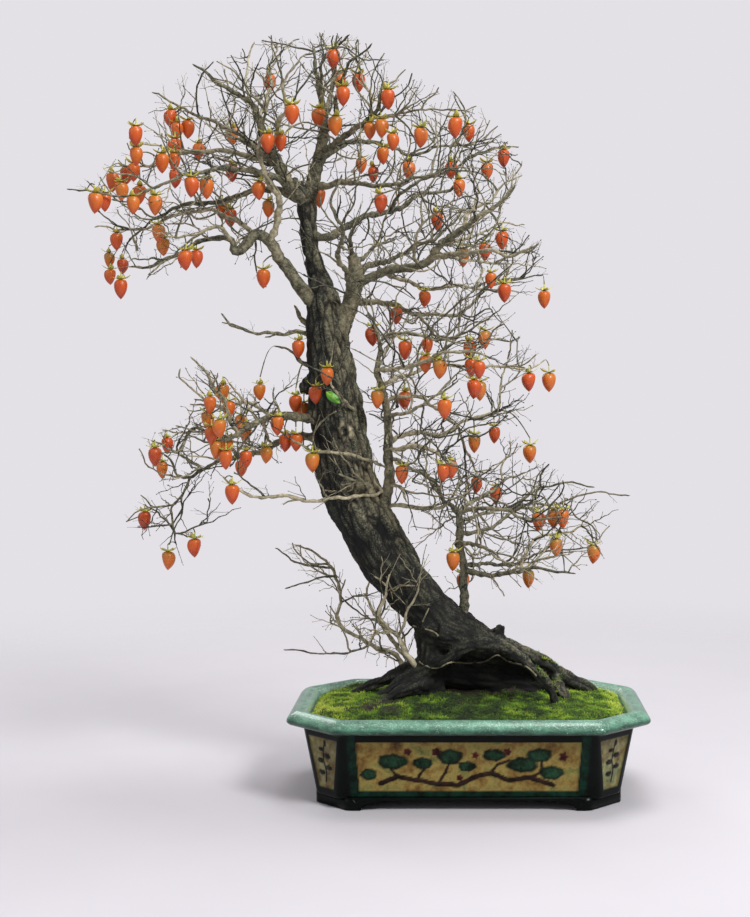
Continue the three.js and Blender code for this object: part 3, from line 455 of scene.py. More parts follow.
# %% Lines of the old wood
TRUNK = [
    [-36, 205, 4, 27], [-54, 226, 2, 29], [-79, 255, 0, 31], [-105, 294, 0, 35], [-128, 336, 0, 35],
    [-147, 376, 0, 36], [-158, 420, 0, 36], [-165, 470, 0, 35], [-172, 520, 0, 30],
    [-178, 568, 2, 26], [-182, 600, 4, 23], [-184, 624, 6, 17], [-192, 652, 8, 11.5],
    [-200, 690, 10, 10.5], [-203, 718, 12, 12], [-204, 742, 12, 10],
]

ROOTS = {
    "pillar": [[-46, 218, 2, 25], [-45, 180, 4, 20], [-48, 140, 8, 18], [-50, 92, 10, 20]],
    "shoulder": [
        [-48, 226, 4, 25], [-12, 198, 10, 26], [22, 178, 20, 21], [74, 159, 34, 16],
        [112, 140, 46, 12], [150, 124, 58, 8.5], [176, 106, 66, 5],
    ],
    "shelf": [[-34, 196, -8, 22], [6, 184, -16, 14], [48, 174, -10, 11], [92, 156, 12, 9], [112, 142, 36, 8]],
    "arch": [
        [-46, 150, -4, 9], [-30, 159, -22, 8], [-10, 173, -32, 7], [16, 180, -38, 7.5],
        [42, 176, -42, 7], [66, 161, -46, 7], [88, 142, -48, 6.5], [103, 122, -48, 6], [110, 96, -46, 5],
    ],
    "back": [[-36, 196, 14, 20], [-10, 160, 42, 14], [16, 120, 62, 11], [26, 92, 68, 8]],
    "backRight": [[30, 176, 24, 14], [58, 148, 52, 10], [72, 118, 66, 8], [78, 92, 70, 6]],
    "caveWall": [[-30, 150, 24, 24], [20, 138, 32, 23], [76, 127, 38, 16], [146, 106, 58, 6]],
    "left": [[-46, 158, 8, 14], [-78, 146, 16, 9.5], [-108, 134, 24, 7.5], [-140, 120, 34, 5.5], [-160, 100, 40, 4]],
    "leftWeb": [[-50, 148, 4, 17], [-94, 122, 4, 10], [-116, 108, 8, 6]],
    "lowerLeft": [[-48, 134, 0, 14], [-74, 124, -12, 8], [-100, 112, -22, 6], [-120, 94, -26, 4]],
    "right": [[104, 142, 34, 9], [114, 124, 4, 8], [124, 108, -12, 6], [130, 90, -16, 4.5]],
}

BURLS = [
    [[-184, 512, -2, 20], [-200, 506, -2, 13], [-205, 494, -4, 8]],
    [[-182, 470, -6, 22], [-196, 466, -14, 12], [-204, 464, -18, 7]],
    [[-158, 446, -20, 13], [-158, 446, -34, 9.5], [-157, 446, -40, 6.5]],
    [[36, 190, 20, 12], [40, 200, 18, 6], [43, 204, 18, 4]],
    [[-202, 742, 12, 11], [-214, 752, 8, 10], [-226, 762, 2, 8]],
]

# %% [markdown]
# ## Smooth paths
#
# A drawn line has few points. `flowing` passes a smooth curve through them with a step of a
# few millimetres, and gives the radius at each step. A path also keeps a frame that follows
# it, so that a place near the wood can be told as it would lie if that root or trunk were
# straightened out. Bark is patterned in that straight wood, so its cracks follow the grain.

# %% Flowing paths
def flowing(drawn, step):
    """Centres and radii along a smooth curve through drawn points, in metres."""
    knots = [carried(*point[:3]) for point in drawn]
    sizes = [point[3] * MM for point in drawn]
    centres, radii = [], []
    for i in range(len(knots) - 1):
        a, b, c, d = (knots[min(max(i + k, 0), len(knots) - 1)] for k in (-1, 0, 1, 2))
        pieces = max(1, round((c - b).length / step))
        for k in range(pieces):
            t = k / pieces
            bend = (2 * b + (c - a) * t + (2 * a - 5 * b + 4 * c - d) * t * t
                    + (3 * b - a - 3 * c + d) * t ** 3) / 2
            centres.append(bend)
            radii.append(sizes[i] + (sizes[i + 1] - sizes[i]) * t)
    return centres + [knots[-1]], radii + [sizes[-1]]


def straightened(centres, radii, places):
    """How far places lie outside a path's skin, and where they lie on the path laid straight."""
    line = np.array(centres)
    ahead = np.gradient(line, axis=0)
    ahead /= np.linalg.norm(ahead, axis=1)[:, None]
    across = np.empty_like(ahead)
    side = np.array((0.3, 1, 0.2))
    for row, direction in enumerate(ahead):
        side = side - direction * side.dot(direction)
        side /= np.linalg.norm(side)
        across[row] = side
    up = np.cross(ahead, across)
    travelled = np.concatenate(([0], np.cumsum(np.linalg.norm(np.diff(line, axis=0), axis=1))))
    offsets = places[:, None, :] - line[None, :, :]
    gaps = np.linalg.norm(offsets, axis=2) - np.array(radii)
    near = gaps.argmin(axis=1)
    rows = np.arange(len(places))
    offset = offsets[rows, near]
    along = travelled[near] + (offset * ahead[near]).sum(axis=1)
    straight = np.stack([(offset * across[near]).sum(axis=1), (offset * up[near]).sum(axis=1), along], axis=1)
    return gaps[rows, near], straight


OLD_PATHS = [flowing(points, 0.006) for points in [TRUNK, *ROOTS.values()]]
print(len(OLD_PATHS), "paths of old wood")

# %% [markdown]
# ## The trunk
#
# Trunk, roots and burls grew as one body. Lobed tubes are laid along the paths, a voxel
# remesh melts them into one skin, and a light smoothing takes its steps off. Hollows on the
# left are pressed in afterwards, and the tone later darkens them with painted shade. Then each
# point is told its place in the straightened wood of its two nearest paths, with the share of
# the second, so bark flows over the forks. Last, each point is told its tone, which carries
# painted light and shade.

# %% One skin for the old wood
VOXEL = 0.0021
FORK_WIDTH = 0.012
MOSSY_ROOT = 0.5
KNOT = (-155, 447, -42)
# Each hollow: x, height, depth, radius and how deep it is pressed, in millimetres; the tone also darkens them with
# painted shade
HOLLOWS = [
    (-190, 442, -8, 15, 7), (-189, 500, -6, 12, 5), (-208, 520, 6, 12, 5), (-176, 640, 0, 9, 3.5),
    (-110, 322, -34, 13, 4), (-158, 395, -35, 12, 3), (-140, 300, -30, 14, 4), (-66, 214, -26, 13, 5),
    (-155, 447, -42, 5, 8), (-150, 428, -34, 7, 4), (-134, 470, -30, 9, 3),
]


def lobed(row, angle):
    """The trunk's ribs, which wind a little on their way up."""
    return (1 + 0.045 * math.sin(3 * angle + 5 * row) + 0.03 * math.sin(5 * angle - 7 * row)
            + 0.018 * math.sin(9 * angle + 11 * row))


def old_wood():
    """The melted skin of trunk, roots and burls."""
    shape = Shape()
    for centres, radii in OLD_PATHS:
        shape.take(*tube(centres, radii, 36, lobes=lobed))
    for burl in BURLS:
        shape.take(*tube(*flowing(burl, 0.003), 20))
    trunk = put("old_wood", shape.mesh("old_wood"))
    melt = trunk.modifiers.new("melt", "REMESH")
    melt.mode = "VOXEL"
    melt.voxel_size = VOXEL
    ease = trunk.modifiers.new("ease", "SMOOTH")
    ease.factor = 0.5
    ease.iterations = 4
    return plain(trunk)


def dents(places):
    """How strongly each hollow takes hold of places, with its depth."""
    for x, height, depth, radius, deep in HOLLOWS:
        gap = np.linalg.norm(places - np.array(carried(x, height, depth)), axis=1) / (radius * 1.6 * MM)
        yield np.clip(1 - gap ** 2, 0, 1) ** 2, deep * MM


def facing_of(mesh):
    """The direction that each point of a mesh faces."""
    flat = np.empty(3 * len(mesh.vertices), np.float32)
    mesh.vertex_normals.foreach_get("vector", flat)
    return flat.reshape(-1, 3)


def press_hollows(mesh):
    """Presses the drawn hollows in along the skin's own direction."""
    places = places_of(mesh)
    facing = facing_of(mesh)
    for dent, deep in dents(places):
        places -= facing * (dent * deep)[:, None]
    mesh.vertices.foreach_set("co", places.ravel())
    mesh.update()


def tell_grain(mesh):
    """Tells each point its place in the straightened wood of its two nearest paths."""
    places = places_of(mesh).astype(np.float64)
    found = [straightened(*path, places) for path in OLD_PATHS]
    gaps = np.array([gap for gap, _ in found])
    straights = np.array([straight + 0.37 * i for i, (_, straight) in enumerate(found)])
    order = gaps.argsort(axis=0)
    rows = np.arange(len(places))
    apart = gaps[order[1], rows] - gaps[order[0], rows]
    tell(mesh, "grain", straights[order[0], rows], "FLOAT_VECTOR")
    tell(mesh, "second_grain", straights[order[1], rows], "FLOAT_VECTOR")
    tell(mesh, "second_share", 0.5 * np.clip(1 - apart / FORK_WIDTH, 0, 1))


def tell_tone(mesh):
    """Painted light and shade in the tone: paler high up and on the roots' tops where the wood faces the light, dark
    at the foot and on the left that faces away, with painted shade in the hollows and the knot's hole, and painted
    black shade in the cave of the roots.
    """
    x, depth, height = ((places_of(mesh) - np.array(POT, np.float32)) / MM).T
    facing = facing_of(mesh)
    # Painted light: the wood is paler where it faces the key light at the upper right front
    light = np.clip(facing @ (0.6, -0.35, 0.3) + 0.28, 0, 1)
    high = np.clip((height - 190) / 200, 0, 1)
    band = np.exp(-((height - 372) / 40) ** 2)
    # Painted light: the roots are paler on their tops, where they face up towards the light
    roots = eased((215 - height) / 40) * eased((x + 30) / 60) * np.clip(facing[:, 2] + 0.2, 0, 1)
    # Painted shade: the wood in the cave behind the arched root is painted near black
    cave = eased((153 - height) / 8) * eased((depth + 32) / 12) * eased((x + 52) / 12) * eased((112 - x) / 12)
    # Painted shade in the pressed hollows
    hollow = np.max([dent for dent, _ in dents(places_of(mesh))], axis=0)
    from_knot = np.linalg.norm(places_of(mesh) - np.array(carried(*KNOT)), axis=1) / MM
    knot = np.exp(-((from_knot - 11) / 3.5) ** 2)
    tone = 0.05 + (0.4 * high + 0.3 * band) * light + 0.34 * roots + 0.34 * knot - 0.25 * hollow
    # Painted shade in the knot's hole
    tone = tone - 0.5 * np.exp(-(from_knot / 6) ** 2)
    tell(mesh, "tone", tone * (1 - cave) - 0.6 * cave)
    mossy = eased((x - 62) / 20) * eased((124 - x) / 16) * eased((168 - height) / 14) * eased((depth + 62) / 10)
    tell(mesh, "growth", MOSSY_ROOT * mossy * eased((facing[:, 2] - 0.1) / 0.5))


OLD_SKIN = old_wood()
press_hollows(OLD_SKIN)
tell_grain(OLD_SKIN)
tell_tone(OLD_SKIN)
print("the melted skin has", len(OLD_SKIN.polygons), "faces")

# %% [markdown]
# ## Bark
#
# The bark is relief, made by nodes: broad lumps by the place itself, and upright plates from
# a cell pattern in the straightened wood, drawn out along the grain. The cracks lie where a
# point is near the edge of its cell. The same pattern is kept as `relief`, which paints shade
# into the cracks and sets where the lichen shows.

# %% Bark by nodes
BARK_SIZES = {
    "Lump Height": ("Float", 0.0048), "Plate Height": ("Float", 0.0036), "Plate Width": ("Float", 0.0088),
    "Draw Out": ("Float", 0.22), "Grain Height": ("Float", 0.0018), "Material": ("Material", None),
}


def bark_tree():
    """Lumps, plates and grains of bark, pushed out along the skin."""
    tree, sizes, end = node_tree("bark relief", BARK_SIZES)
    facing = add(tree, "GeometryNodeInputNormal").outputs[0]
    here = add(tree, "GeometryNodeInputPosition").outputs[0]
    per_metre = sums(tree, "DIVIDE", 1.0, sizes["Plate Width"])

    def named(name, kind):
        node = add(tree, "GeometryNodeInputNamedAttribute", {"Name": name}, data_type=kind)
        return node.outputs["Attribute"]

    def plates(name):
        along = add(tree, "ShaderNodeCombineXYZ", {0: 1.0, 1: 1.0, 2: sizes["Draw Out"]}).outputs[0]
        drawn = add(tree, "ShaderNodeVectorMath", {0: named(name, "FLOAT_VECTOR"), 1: along},
                    operation="MULTIPLY").outputs[0]
        wander = add(tree, "ShaderNodeTexNoise", {"Vector": drawn, "Scale": 120.0, "Detail": 2.0}).outputs["Color"]
        bent = add(tree, "ShaderNodeVectorMath", {0: wander, 1: (0.005, 0.005, 0.005), 2: drawn},
                   operation="MULTIPLY_ADD").outputs[0]
        cells = add(tree, "ShaderNodeTexVoronoi", {"Vector": bent, "Scale": per_metre}, feature="DISTANCE_TO_EDGE")
        return sums(tree, "MULTIPLY", cells.outputs["Distance"], 3.4, True)

    both = add(tree, "ShaderNodeMix", {0: named("second_share", "FLOAT"), 2: plates("grain"),
                                       3: plates("second_grain")}).outputs[0]
    lumps = sums(tree, "SUBTRACT", add(tree, "ShaderNodeTexNoise", {
        "Vector": here, "Scale": 34.0, "Detail": 2.0}).outputs[0], 0.5)
    grains = sums(tree, "SUBTRACT", add(tree, "ShaderNodeTexNoise", {
        "Vector": here, "Scale": 210.0, "Detail": 2.0}).outputs[0], 0.5)
    push = sums(tree, "MULTIPLY", lumps, sizes["Lump Height"])
    for share, height in ((sums(tree, "SUBTRACT", both, 0.6), sizes["Plate Height"]),
                          (grains, sizes["Grain Height"])):
        push = sums(tree, "ADD", push, sums(tree, "MULTIPLY", share, height))
    offset = add(tree, "ShaderNodeVectorMath", {0: facing, "Scale": push}, operation="SCALE").outputs[0]
    kept = add(tree, "GeometryNodeStoreNamedAttribute", {
        "Geometry": sizes["Geometry"], "Name": "relief", "Value": both}, data_type="FLOAT", domain="POINT")
    moved = add(tree, "GeometryNodeSetPosition", {"Geometry": kept.outputs[0], "Offset": offset})
    real = add(tree, "GeometryNodeRealizeInstances", {"Geometry": moved.outputs[0]})
    done = add(tree, "GeometryNodeSetMaterial", {"Geometry": real.outputs[0], "Material": sizes["Material"]})
    tree.links.new(done.outputs[0], end.inputs[0])
    return tree


barked = grown(put("old_wood", OLD_SKIN), bark_tree(), {"Material": BARK})
barked.shade_smooth()
finished(put("trunk_and_roots", barked), ["tree"])

# %% [markdown]
# ## The limbs, as drawn
#
# Limbs first, then the branches that leave them, in the same four numbers. The left limb has
# a knee, two leaders part from the scar of an old cut, and a slim second trunk climbs on the
# right of the first.

# %% Lines of the limbs
LIMBS = [
    # The left limb with its knee
    [[-188, 604, 0, 10], [-214, 632, -6, 8], [-236, 664, -14, 7], [-252, 688, -20, 7], [-268, 694, -24, 6.5],
        [-283, 677, -28, 6], [-294, 672, -32, 5], [-303, 689, -36, 3.4], [-330, 688, -42, 2.6],
        [-362, 672, -50, 2.2], [-398, 656, -58, 1.9], [-426, 653, -64, 1.2]],
    [[-250, 686, -20, 5], [-243, 712, -26, 4], [-240, 740, -34, 3.5], [-252, 765, -44, 3],
        [-262, 792, -56, 2.4], [-258, 825, -66, 1.9], [-252, 862, -74, 1.1]],
    [[-266, 692, -24, 4], [-285, 708, 10, 3], [-312, 722, 40, 2.6], [-345, 724, 70, 2.3],
        [-378, 716, 95, 2], [-410, 702, 115, 1.6], [-470, 703, 140, 0.9]],
    [[-300, 684, -35, 3], [-312, 705, -60, 2.4], [-330, 701, -84, 2], [-375, 692, -120, 1.1]],
    # The fan to the far left
    [[-212, 738, 8, 6], [-240, 752, 20, 4.5], [-275, 748, 40, 3.4], [-310, 738, 62, 2.8],
        [-350, 732, 84, 2.4], [-385, 720, 104, 2], [-412, 702, 120, 1.5], [-432, 680, 132, 1]],
    [[-220, 754, 4, 5], [-250, 768, -24, 4], [-285, 776, -50, 3], [-320, 775, -76, 2.4],
        [-352, 768, -98, 2], [-385, 756, -118, 1.6], [-424, 742, -134, 1.3], [-503, 753, -150, 0.8]],
    [[-228, 768, 2, 5], [-252, 788, -6, 4], [-285, 796, -14, 3], [-320, 798, -20, 2.6],
        [-352, 798, -24, 2.2], [-380, 792, -28, 1.8], [-402, 782, -32, 1.5], [-432, 780, -36, 0.9]],
    [[-352, 798, -24, 1.8], [-378, 802, -60, 1.5], [-402, 809, -84, 1.2], [-424, 816, -96, 0.9]],
    [[-234, 774, 0, 4.5], [-262, 800, 20, 3.6], [-286, 820, 44, 3], [-312, 832, 66, 2.5],
        [-334, 840, 84, 2.2], [-352, 853, 96, 1.8], [-374, 861, 106, 1.4], [-397, 872, 112, 0.9]],
    # The upper left leader
    [[-206, 735, 10, 9], [-230, 764, 0, 8], [-249, 800, -12, 6], [-262, 832, -22, 4.6],
        [-274, 858, -30, 3.6], [-300, 875, -44, 2.6], [-322, 892, -58, 1.9], [-344, 910, -70, 1]],
    [[-262, 832, -22, 3], [-256, 856, 10, 2.4], [-250, 880, 34, 2], [-250, 905, 50, 1.6], [-240, 936, 60, 0.9]],
    [[-249, 800, -12, 3.4], [-240, 826, -50, 2.8], [-228, 855, -84, 2.2], [-232, 885, -110, 1.6],
        [-205, 922, -132, 0.9]],
    [[-274, 858, -30, 2.2], [-279, 885, -12, 1.7], [-276, 912, 0, 1.3], [-270, 936, 8, 0.9]],
    [[-228, 762, 2, 5], [-236, 782, 60, 4], [-262, 800, 110, 3], [-290, 812, 150, 2.2], [-310, 836, 178, 1.2]],
    # The upper right leader
    [[-203, 738, 12, 9.5], [-193, 770, 10, 8.5], [-185, 805, 8, 7], [-180, 835, 4, 5.5], [-184, 862, 0, 4],
        [-190, 888, -4, 3], [-195, 930, -8, 1.4]],
    [[-180, 835, 4, 3.5], [-176, 865, 30, 2.6], [-170, 900, 52, 2], [-176, 925, 66, 1.5], [-188, 950, 74, 0.9]],
    [[-184, 862, 0, 2.6], [-186, 895, -30, 2], [-175, 925, -50, 1.6], [-150, 944, -64, 0.9]],
    [[-182, 820, 6, 4], [-168, 846, -30, 3], [-164, 880, -60, 2.2], [-146, 912, -86, 1.6], [-122, 936, -104, 0.9]],
    [[-186, 800, 8, 5], [-166, 812, -20, 4], [-145, 828, -40, 3.4], [-124, 842, -58, 2.8], [-112, 856, -70, 2.2],
        [-109, 890, -82, 1]],
    [[-124, 842, -58, 2.2], [-98, 842, -80, 1.9], [-82, 852, -94, 1.6], [-68, 858, -104, 0.9]],
    [[-124, 842, -58, 2], [-122, 868, -30, 1.6], [-132, 888, -12, 1.3], [-138, 905, 0, 0.9]],
    [[-98, 842, -80, 1.6], [-70, 850, -96, 1.3], [-20, 853, -118, 0.8]],
    [[-191, 780, 10, 5], [-172, 800, 36, 4], [-150, 812, 60, 3.2], [-118, 812, 84, 2.6], [-92, 803, 104, 2.2],
        [-72, 794, 120, 1.9], [-46, 802, 134, 1.6], [-20, 806, 146, 1.3], [32, 816, 162, 0.8]],
    [[-20, 806, 146, 1.3], [-6, 834, 150, 1.2], [-8, 858, 154, 1], [-20, 875, 158, 0.8]],
    [[-199, 752, 12, 5], [-176, 757, -16, 4], [-150, 762, -44, 3.2], [-120, 757, -70, 2.6], [-92, 757, -94, 2.2],
        [-70, 766, -112, 1.8], [-50, 770, -126, 1.4], [-12, 776, -140, 0.9]],
    [[-201, 698, 11, 6], [-176, 692, 22, 5], [-152, 704, 40, 4.4], [-128, 715, 58, 3.8], [-100, 726, 76, 3.4],
        [-82, 731, 88, 2.8], [-62, 744, 100, 2.4], [-40, 746, 112, 2.1], [-18, 754, 122, 1.9],
        [-11, 782, 130, 1.6], [24, 800, 136, 1.3], [65, 807, 142, 0.8]],
    [[-100, 726, 76, 2.6], [-84, 748, 50, 2.2], [-52, 764, 30, 1.8], [-22, 776, 14, 1.4], [-9, 802, 4, 0.9]],
    # The stub stem beside the leader, with the right limb
    [[-168, 566, 4, 16], [-152, 598, 4, 11], [-144, 626, 2, 10], [-142, 652, 0, 8.5], [-147, 671, -2, 5.5]],
    [[-146, 666, 0, 3.4], [-150, 690, -30, 2.2], [-138, 712, -52, 1.1]],
    [[-142, 655, 0, 3.4], [-128, 668, 30, 2.4], [-112, 682, 54, 1.8], [-90, 690, 72, 1]],
    [[-143, 628, 2, 7], [-126, 640, -4, 5.6], [-106, 648, -12, 5.2], [-82, 651, -22, 5], [-62, 655, -30, 5],
        [-46, 668, -38, 4.8], [-30, 688, -46, 4.2], [-6, 702, -56, 3.4], [12, 718, -64, 2.8], [32, 728, -72, 2.3],
        [48, 740, -78, 1.8], [58, 757, -82, 1]],
    [[-6, 702, -56, 2.4], [-4, 718, -30, 2], [10, 730, -10, 1.8], [28, 737, 6, 1.5], [42, 756, 18, 1.3],
        [68, 771, 28, 0.8]],
    [[-48, 666, -38, 4], [-24, 668, -64, 3.2], [4, 673, -86, 2.6], [24, 674, -102, 2.2], [48, 667, -116, 1.8],
        [66, 676, -128, 1.4], [90, 683, -138, 0.8]],
    [[-24, 668, -64, 2.2], [-4, 663, -30, 1.9], [20, 661, -8, 1.6], [34, 656, 8, 1.3], [54, 657, 20, 0.8]],
    [[-34, 682, -44, 2.4], [-14, 686, -10, 2], [6, 690, 20, 1.7], [18, 698, 44, 1.4], [40, 708, 66, 1.1],
        [70, 706, 84, 0.8]],
    [[-62, 655, -30, 2.6], [-68, 675, -64, 2], [-64, 694, -92, 1.6], [-52, 715, -114, 1.3], [-15, 740, -142, 0.8]],
    [[-146, 610, 4, 5], [-116, 611, 20, 3.6], [-94, 608, 40, 3], [-74, 596, 58, 2.6], [-44, 595, 76, 2.2],
        [-20, 593, 92, 2], [2, 604, 106, 1.8], [16, 622, 118, 1.6], [42, 634, 128, 1.3], [95, 644, 138, 0.8]],
    [[-74, 596, 58, 2], [-58, 586, 30, 1.8], [-42, 566, 10, 1.5], [-6, 571, -4, 1.3], [14, 582, -14, 1.1],
        [33, 597, -22, 0.8]],
    [[-106, 648, -12, 3], [-80, 636, 10, 2.4], [-48, 627, 34, 2], [-14, 629, 56, 1.8], [14, 624, 76, 1.6],
        [62, 622, 104, 0.8]],
    [[-144, 640, 2, 5], [-128, 654, 50, 4], [-96, 664, 100, 3], [-60, 680, 140, 2.4], [-30, 700, 166, 1.8],
        [-8, 728, 184, 1]],
    [[-150, 612, 2, 5], [-150, 640, -50, 3.4], [-166, 668, -96, 2.8], [-158, 700, -134, 2.2],
        [-172, 735, -160, 1.6], [-160, 770, -178, 1]],
    # The second trunk, which climbs on the right of the first
    [[-114, 336, -8, 11], [-101, 372, -20, 7], [-101, 425, -24, 5.4], [-103, 465, -26, 4.6], [-110, 505, -26, 4],
        [-116, 528, -24, 3.4], [-110, 548, -22, 2.8], [-116, 572, -20, 2], [-124, 596, -18, 1.2]],
    [[-101, 425, -24, 3.4], [-76, 427, -48, 2.8], [-50, 425, -70, 2.4], [-32, 416, -88, 2], [-14, 404, -102, 1.1]],
    [[-101, 430, -24, 3.6], [-80, 441, -4, 3], [-56, 445, 16, 2.6], [-30, 443, 34, 2.2], [-2, 461, 50, 1.9],
        [33, 473, 64, 1.7], [38, 494, 74, 1.4], [50, 542, 88, 0.8]],
    [[-101, 415, -24, 3], [-82, 405, 10, 2.4], [-58, 394, 38, 2.1], [-42, 378, 60, 1.8], [-32, 356, 76, 1]],
    [[-101, 378, -20, 2.6], [-86, 378, -44, 2], [-79, 356, -60, 1]],
    [[-116, 524, -24, 3], [-90, 527, -52, 2.6], [-62, 533, -78, 2.4], [-50, 537, -90, 2.2], [-36, 546, -100, 2],
        [-2, 547, -112, 1.6], [20, 541, -122, 0.9]],
    [[-50, 536, -90, 2], [-24, 532, -70, 1.8], [2, 529, -52, 1.6], [24, 532, -38, 1.5], [50, 527, -24, 1.4],
        [74, 524, -12, 1.2], [98, 536, -4, 0.8]],
    [[-106, 486, -26, 3], [-74, 492, 4, 2.4], [-50, 482, 30, 2.2], [-26, 462, 52, 2], [-8, 442, 70, 1.8],
        [-2, 418, 84, 1.6], [10, 396, 94, 1]],
    [[-103, 468, -26, 2.8], [-84, 469, -60, 2.2], [-60, 480, -88, 1.8], [-38, 494, -110, 1.4],
        [-12, 512, -126, 0.9]],
    [[-109, 499, -26, 3.4], [-96, 512, 30, 2.8], [-74, 520, 74, 2.3], [-44, 536, 110, 1.8], [-2, 580, 146, 0.9]],
    [[-113, 560, -21, 2.2], [-96, 572, -44, 1.9], [-70, 570, -66, 1.6], [-40, 562, -84, 1.4], [-6, 556, -98, 0.9]],
    [[-104, 352, -14, 4], [-76, 353, -26, 2.6], [-52, 350, -34, 2.3], [-30, 356, -42, 1.9], [-8, 384, -50, 1]],
    # The straight shoot on the right root
    [[-6, 190, 14, 8], [-7, 232, 8, 5.4], [-8, 270, 4, 5], [-12, 312, 0, 5], [-13, 350, -2, 4.2]],
    [[-13, 345, -2, 3.6], [-30, 362, -20, 2.6], [-40, 380, -36, 1.8], [-60, 396, -50, 1]],
    [[-13, 346, -2, 3.4], [8, 362, 22, 2.6], [26, 369, 42, 2.2], [46, 386, 60, 1.6], [72, 396, 76, 0.9]],
    [[-13, 346, -2, 3.2], [14, 350, -24, 2.6], [32, 352, -42, 2.3], [52, 346, -60, 2], [72, 337, -76, 1.7],
        [120, 338, -100, 0.9]],
    [[-8, 272, 4, 4], [18, 268, -14, 3], [44, 270, -30, 2.6], [68, 270, -44, 2.3], [88, 274, -56, 1.9],
        [112, 273, -66, 1.5], [136, 270, -74, 0.9]],
    [[66, 270, -43, 2], [70, 290, -28, 1.9], [82, 307, -16, 1.7], [100, 318, -6, 1.5], [128, 321, 4, 1.3],
        [156, 333, 12, 0.8]],
    [[-8, 278, 4, 3.4], [16, 282, 28, 2.4], [40, 278, 50, 2], [64, 282, 70, 1.6], [96, 296, 88, 1.2],
        [160, 302, 96, 0.8]],
    [[-12, 318, 0, 3.4], [12, 320, 18, 2.4], [30, 328, 34, 2.2], [50, 346, 50, 2], [72, 366, 64, 1.7],
        [98, 378, 76, 1.4], [130, 382, 86, 1.2], [160, 378, 94, 0.8]],
    [[50, 346, 50, 1.8], [80, 354, 30, 1.5], [112, 358, 12, 1.3], [150, 368, -4, 1.1], [200, 368, -16, 0.8]],
    [[-12, 306, 0, 3], [12, 305, -24, 2.2], [26, 296, -44, 1.8], [42, 286, -60, 1]],
    [[-12, 330, 0, 3.4], [-4, 336, 44, 2.4], [20, 344, 84, 2], [50, 352, 116, 1.6], [90, 350, 140, 0.9]],
    # Low limbs on the left
    [[-190, 568, 0, 6], [-216, 571, -8, 2.6], [-232, 566, -14, 2.2], [-252, 572, -20, 2], [-276, 571, -26, 1.7],
        [-298, 582, -32, 1.4], [-313, 596, -36, 0.9]],
    [[-190, 572, 4, 6], [-209, 588, 12, 2.8], [-222, 604, 20, 1.4]],
    [[-192, 526, 0, 6], [-208, 536, 4, 2.6], [-222, 548, 8, 1.6], [-246, 556, 12, 0.9]],
    [[-182, 462, -8, 9], [-206, 464, -22, 5.4], [-236, 466, -36, 4.4], [-258, 463, -46, 3.8],
        [-276, 452, -56, 3.4], [-292, 442, -64, 3], [-308, 438, -72, 2.6], [-326, 446, -80, 2.2],
        [-346, 449, -88, 1.8], [-366, 420, -98, 1]],
    [[-290, 444, -63, 2.4], [-304, 468, -84, 2.2], [-310, 492, -100, 1.9], [-324, 510, -112, 1.6],
        [-348, 541, -126, 0.9]],
    [[-304, 468, -84, 1.7], [-330, 486, -98, 1.4], [-357, 508, -108, 1.1], [-360, 526, -112, 0.8]],
    [[-258, 463, -46, 2.4], [-254, 444, -20, 2], [-246, 432, 8, 1.2]],
    [[-262, 461, -48, 2.2], [-278, 478, -20, 1.9], [-302, 508, 20, 0.9]],
    [[-248, 465, -41, 3], [-262, 476, 14, 2.4], [-284, 484, 60, 2], [-312, 480, 96, 1.6], [-345, 488, 122, 0.9]],
    [[-182, 440, 6, 8], [-206, 441, 14, 4.8], [-230, 438, 24, 4], [-248, 430, 32, 3.6], [-266, 419, 40, 3.2],
        [-292, 416, 50, 2.8], [-314, 411, 58, 2.5], [-334, 401, 64, 2.3], [-350, 391, 68, 2.1], [-366, 391, 72, 1.8],
        [-372, 404, 76, 1.5], [-384, 420, 80, 0.9]],
    [[-350, 391, 68, 1.8], [-358, 372, 60, 1.6], [-371, 355, 54, 1.5], [-374, 338, 50, 1.3], [-370, 318, 46, 1.2],
        [-367, 306, 44, 0.9]],
    [[-371, 355, 54, 1.2], [-394, 354, 58, 1.1], [-412, 371, 62, 0.8]],
    [[-371, 320, 46, 1.1], [-348, 324, 30, 1], [-330, 332, 18, 0.8]],
    [[-371, 322, 47, 1.1], [-392, 346, 66, 1], [-408, 356, 78, 0.8]],
    [[-332, 402, 63, 1.8], [-352, 412, 40, 1.5], [-374, 424, 20, 1.3], [-398, 436, 4, 0.9]],
    [[-292, 416, 50, 2.2], [-300, 430, 84, 1.9], [-326, 434, 112, 1.5], [-350, 440, 130, 0.9]],
    [[-104, 372, -22, 1.6], [-124, 367, -34, 1.9], [-160, 365, -46, 1.9], [-200, 361, -56, 2.2], [-240, 365, -66, 2], [-266, 366, -74, 1.8],
        [-290, 376, -82, 1.5], [-313, 392, -92, 0.9]],
    [[-104, 400, -24, 1.6], [-128, 412, -36, 1.8], [-152, 419, -46, 1.8], [-182, 421, -56, 2], [-206, 430, -64, 1.6], [-226, 436, -70, 1]],
    [[-144, 470, -16, 5], [-154, 484, -46, 1.8], [-172, 504, -54, 1.2], [-178, 530, -58, 0.9]],
    [[-120, 374, -12, 4], [-128, 380, -42, 1.6], [-150, 388, -50, 1.3], [-164, 393, -54, 0.9]],
    # Shoots from the left roots
    [[-70, 140, 16, 4.4], [-81, 148, 18, 3.4], [-94, 167, 22, 3], [-124, 182, 28, 2.6], [-153, 198, 34, 2.4],
        [-166, 212, 38, 2.2], [-160, 234, 42, 2], [-165, 260, 46, 1.8], [-181, 286, 50, 1.6], [-220, 305, 54, 0.9]],
    [[-176, 278, 49, 1.5], [-206, 281, 60, 1.3], [-243, 298, 70, 0.8]],
    [[-166, 264, 47, 1.4], [-192, 262, 30, 1.2], [-231, 250, 20, 0.8]],
    [[-160, 234, 42, 1.5], [-136, 240, 62, 0.9]],
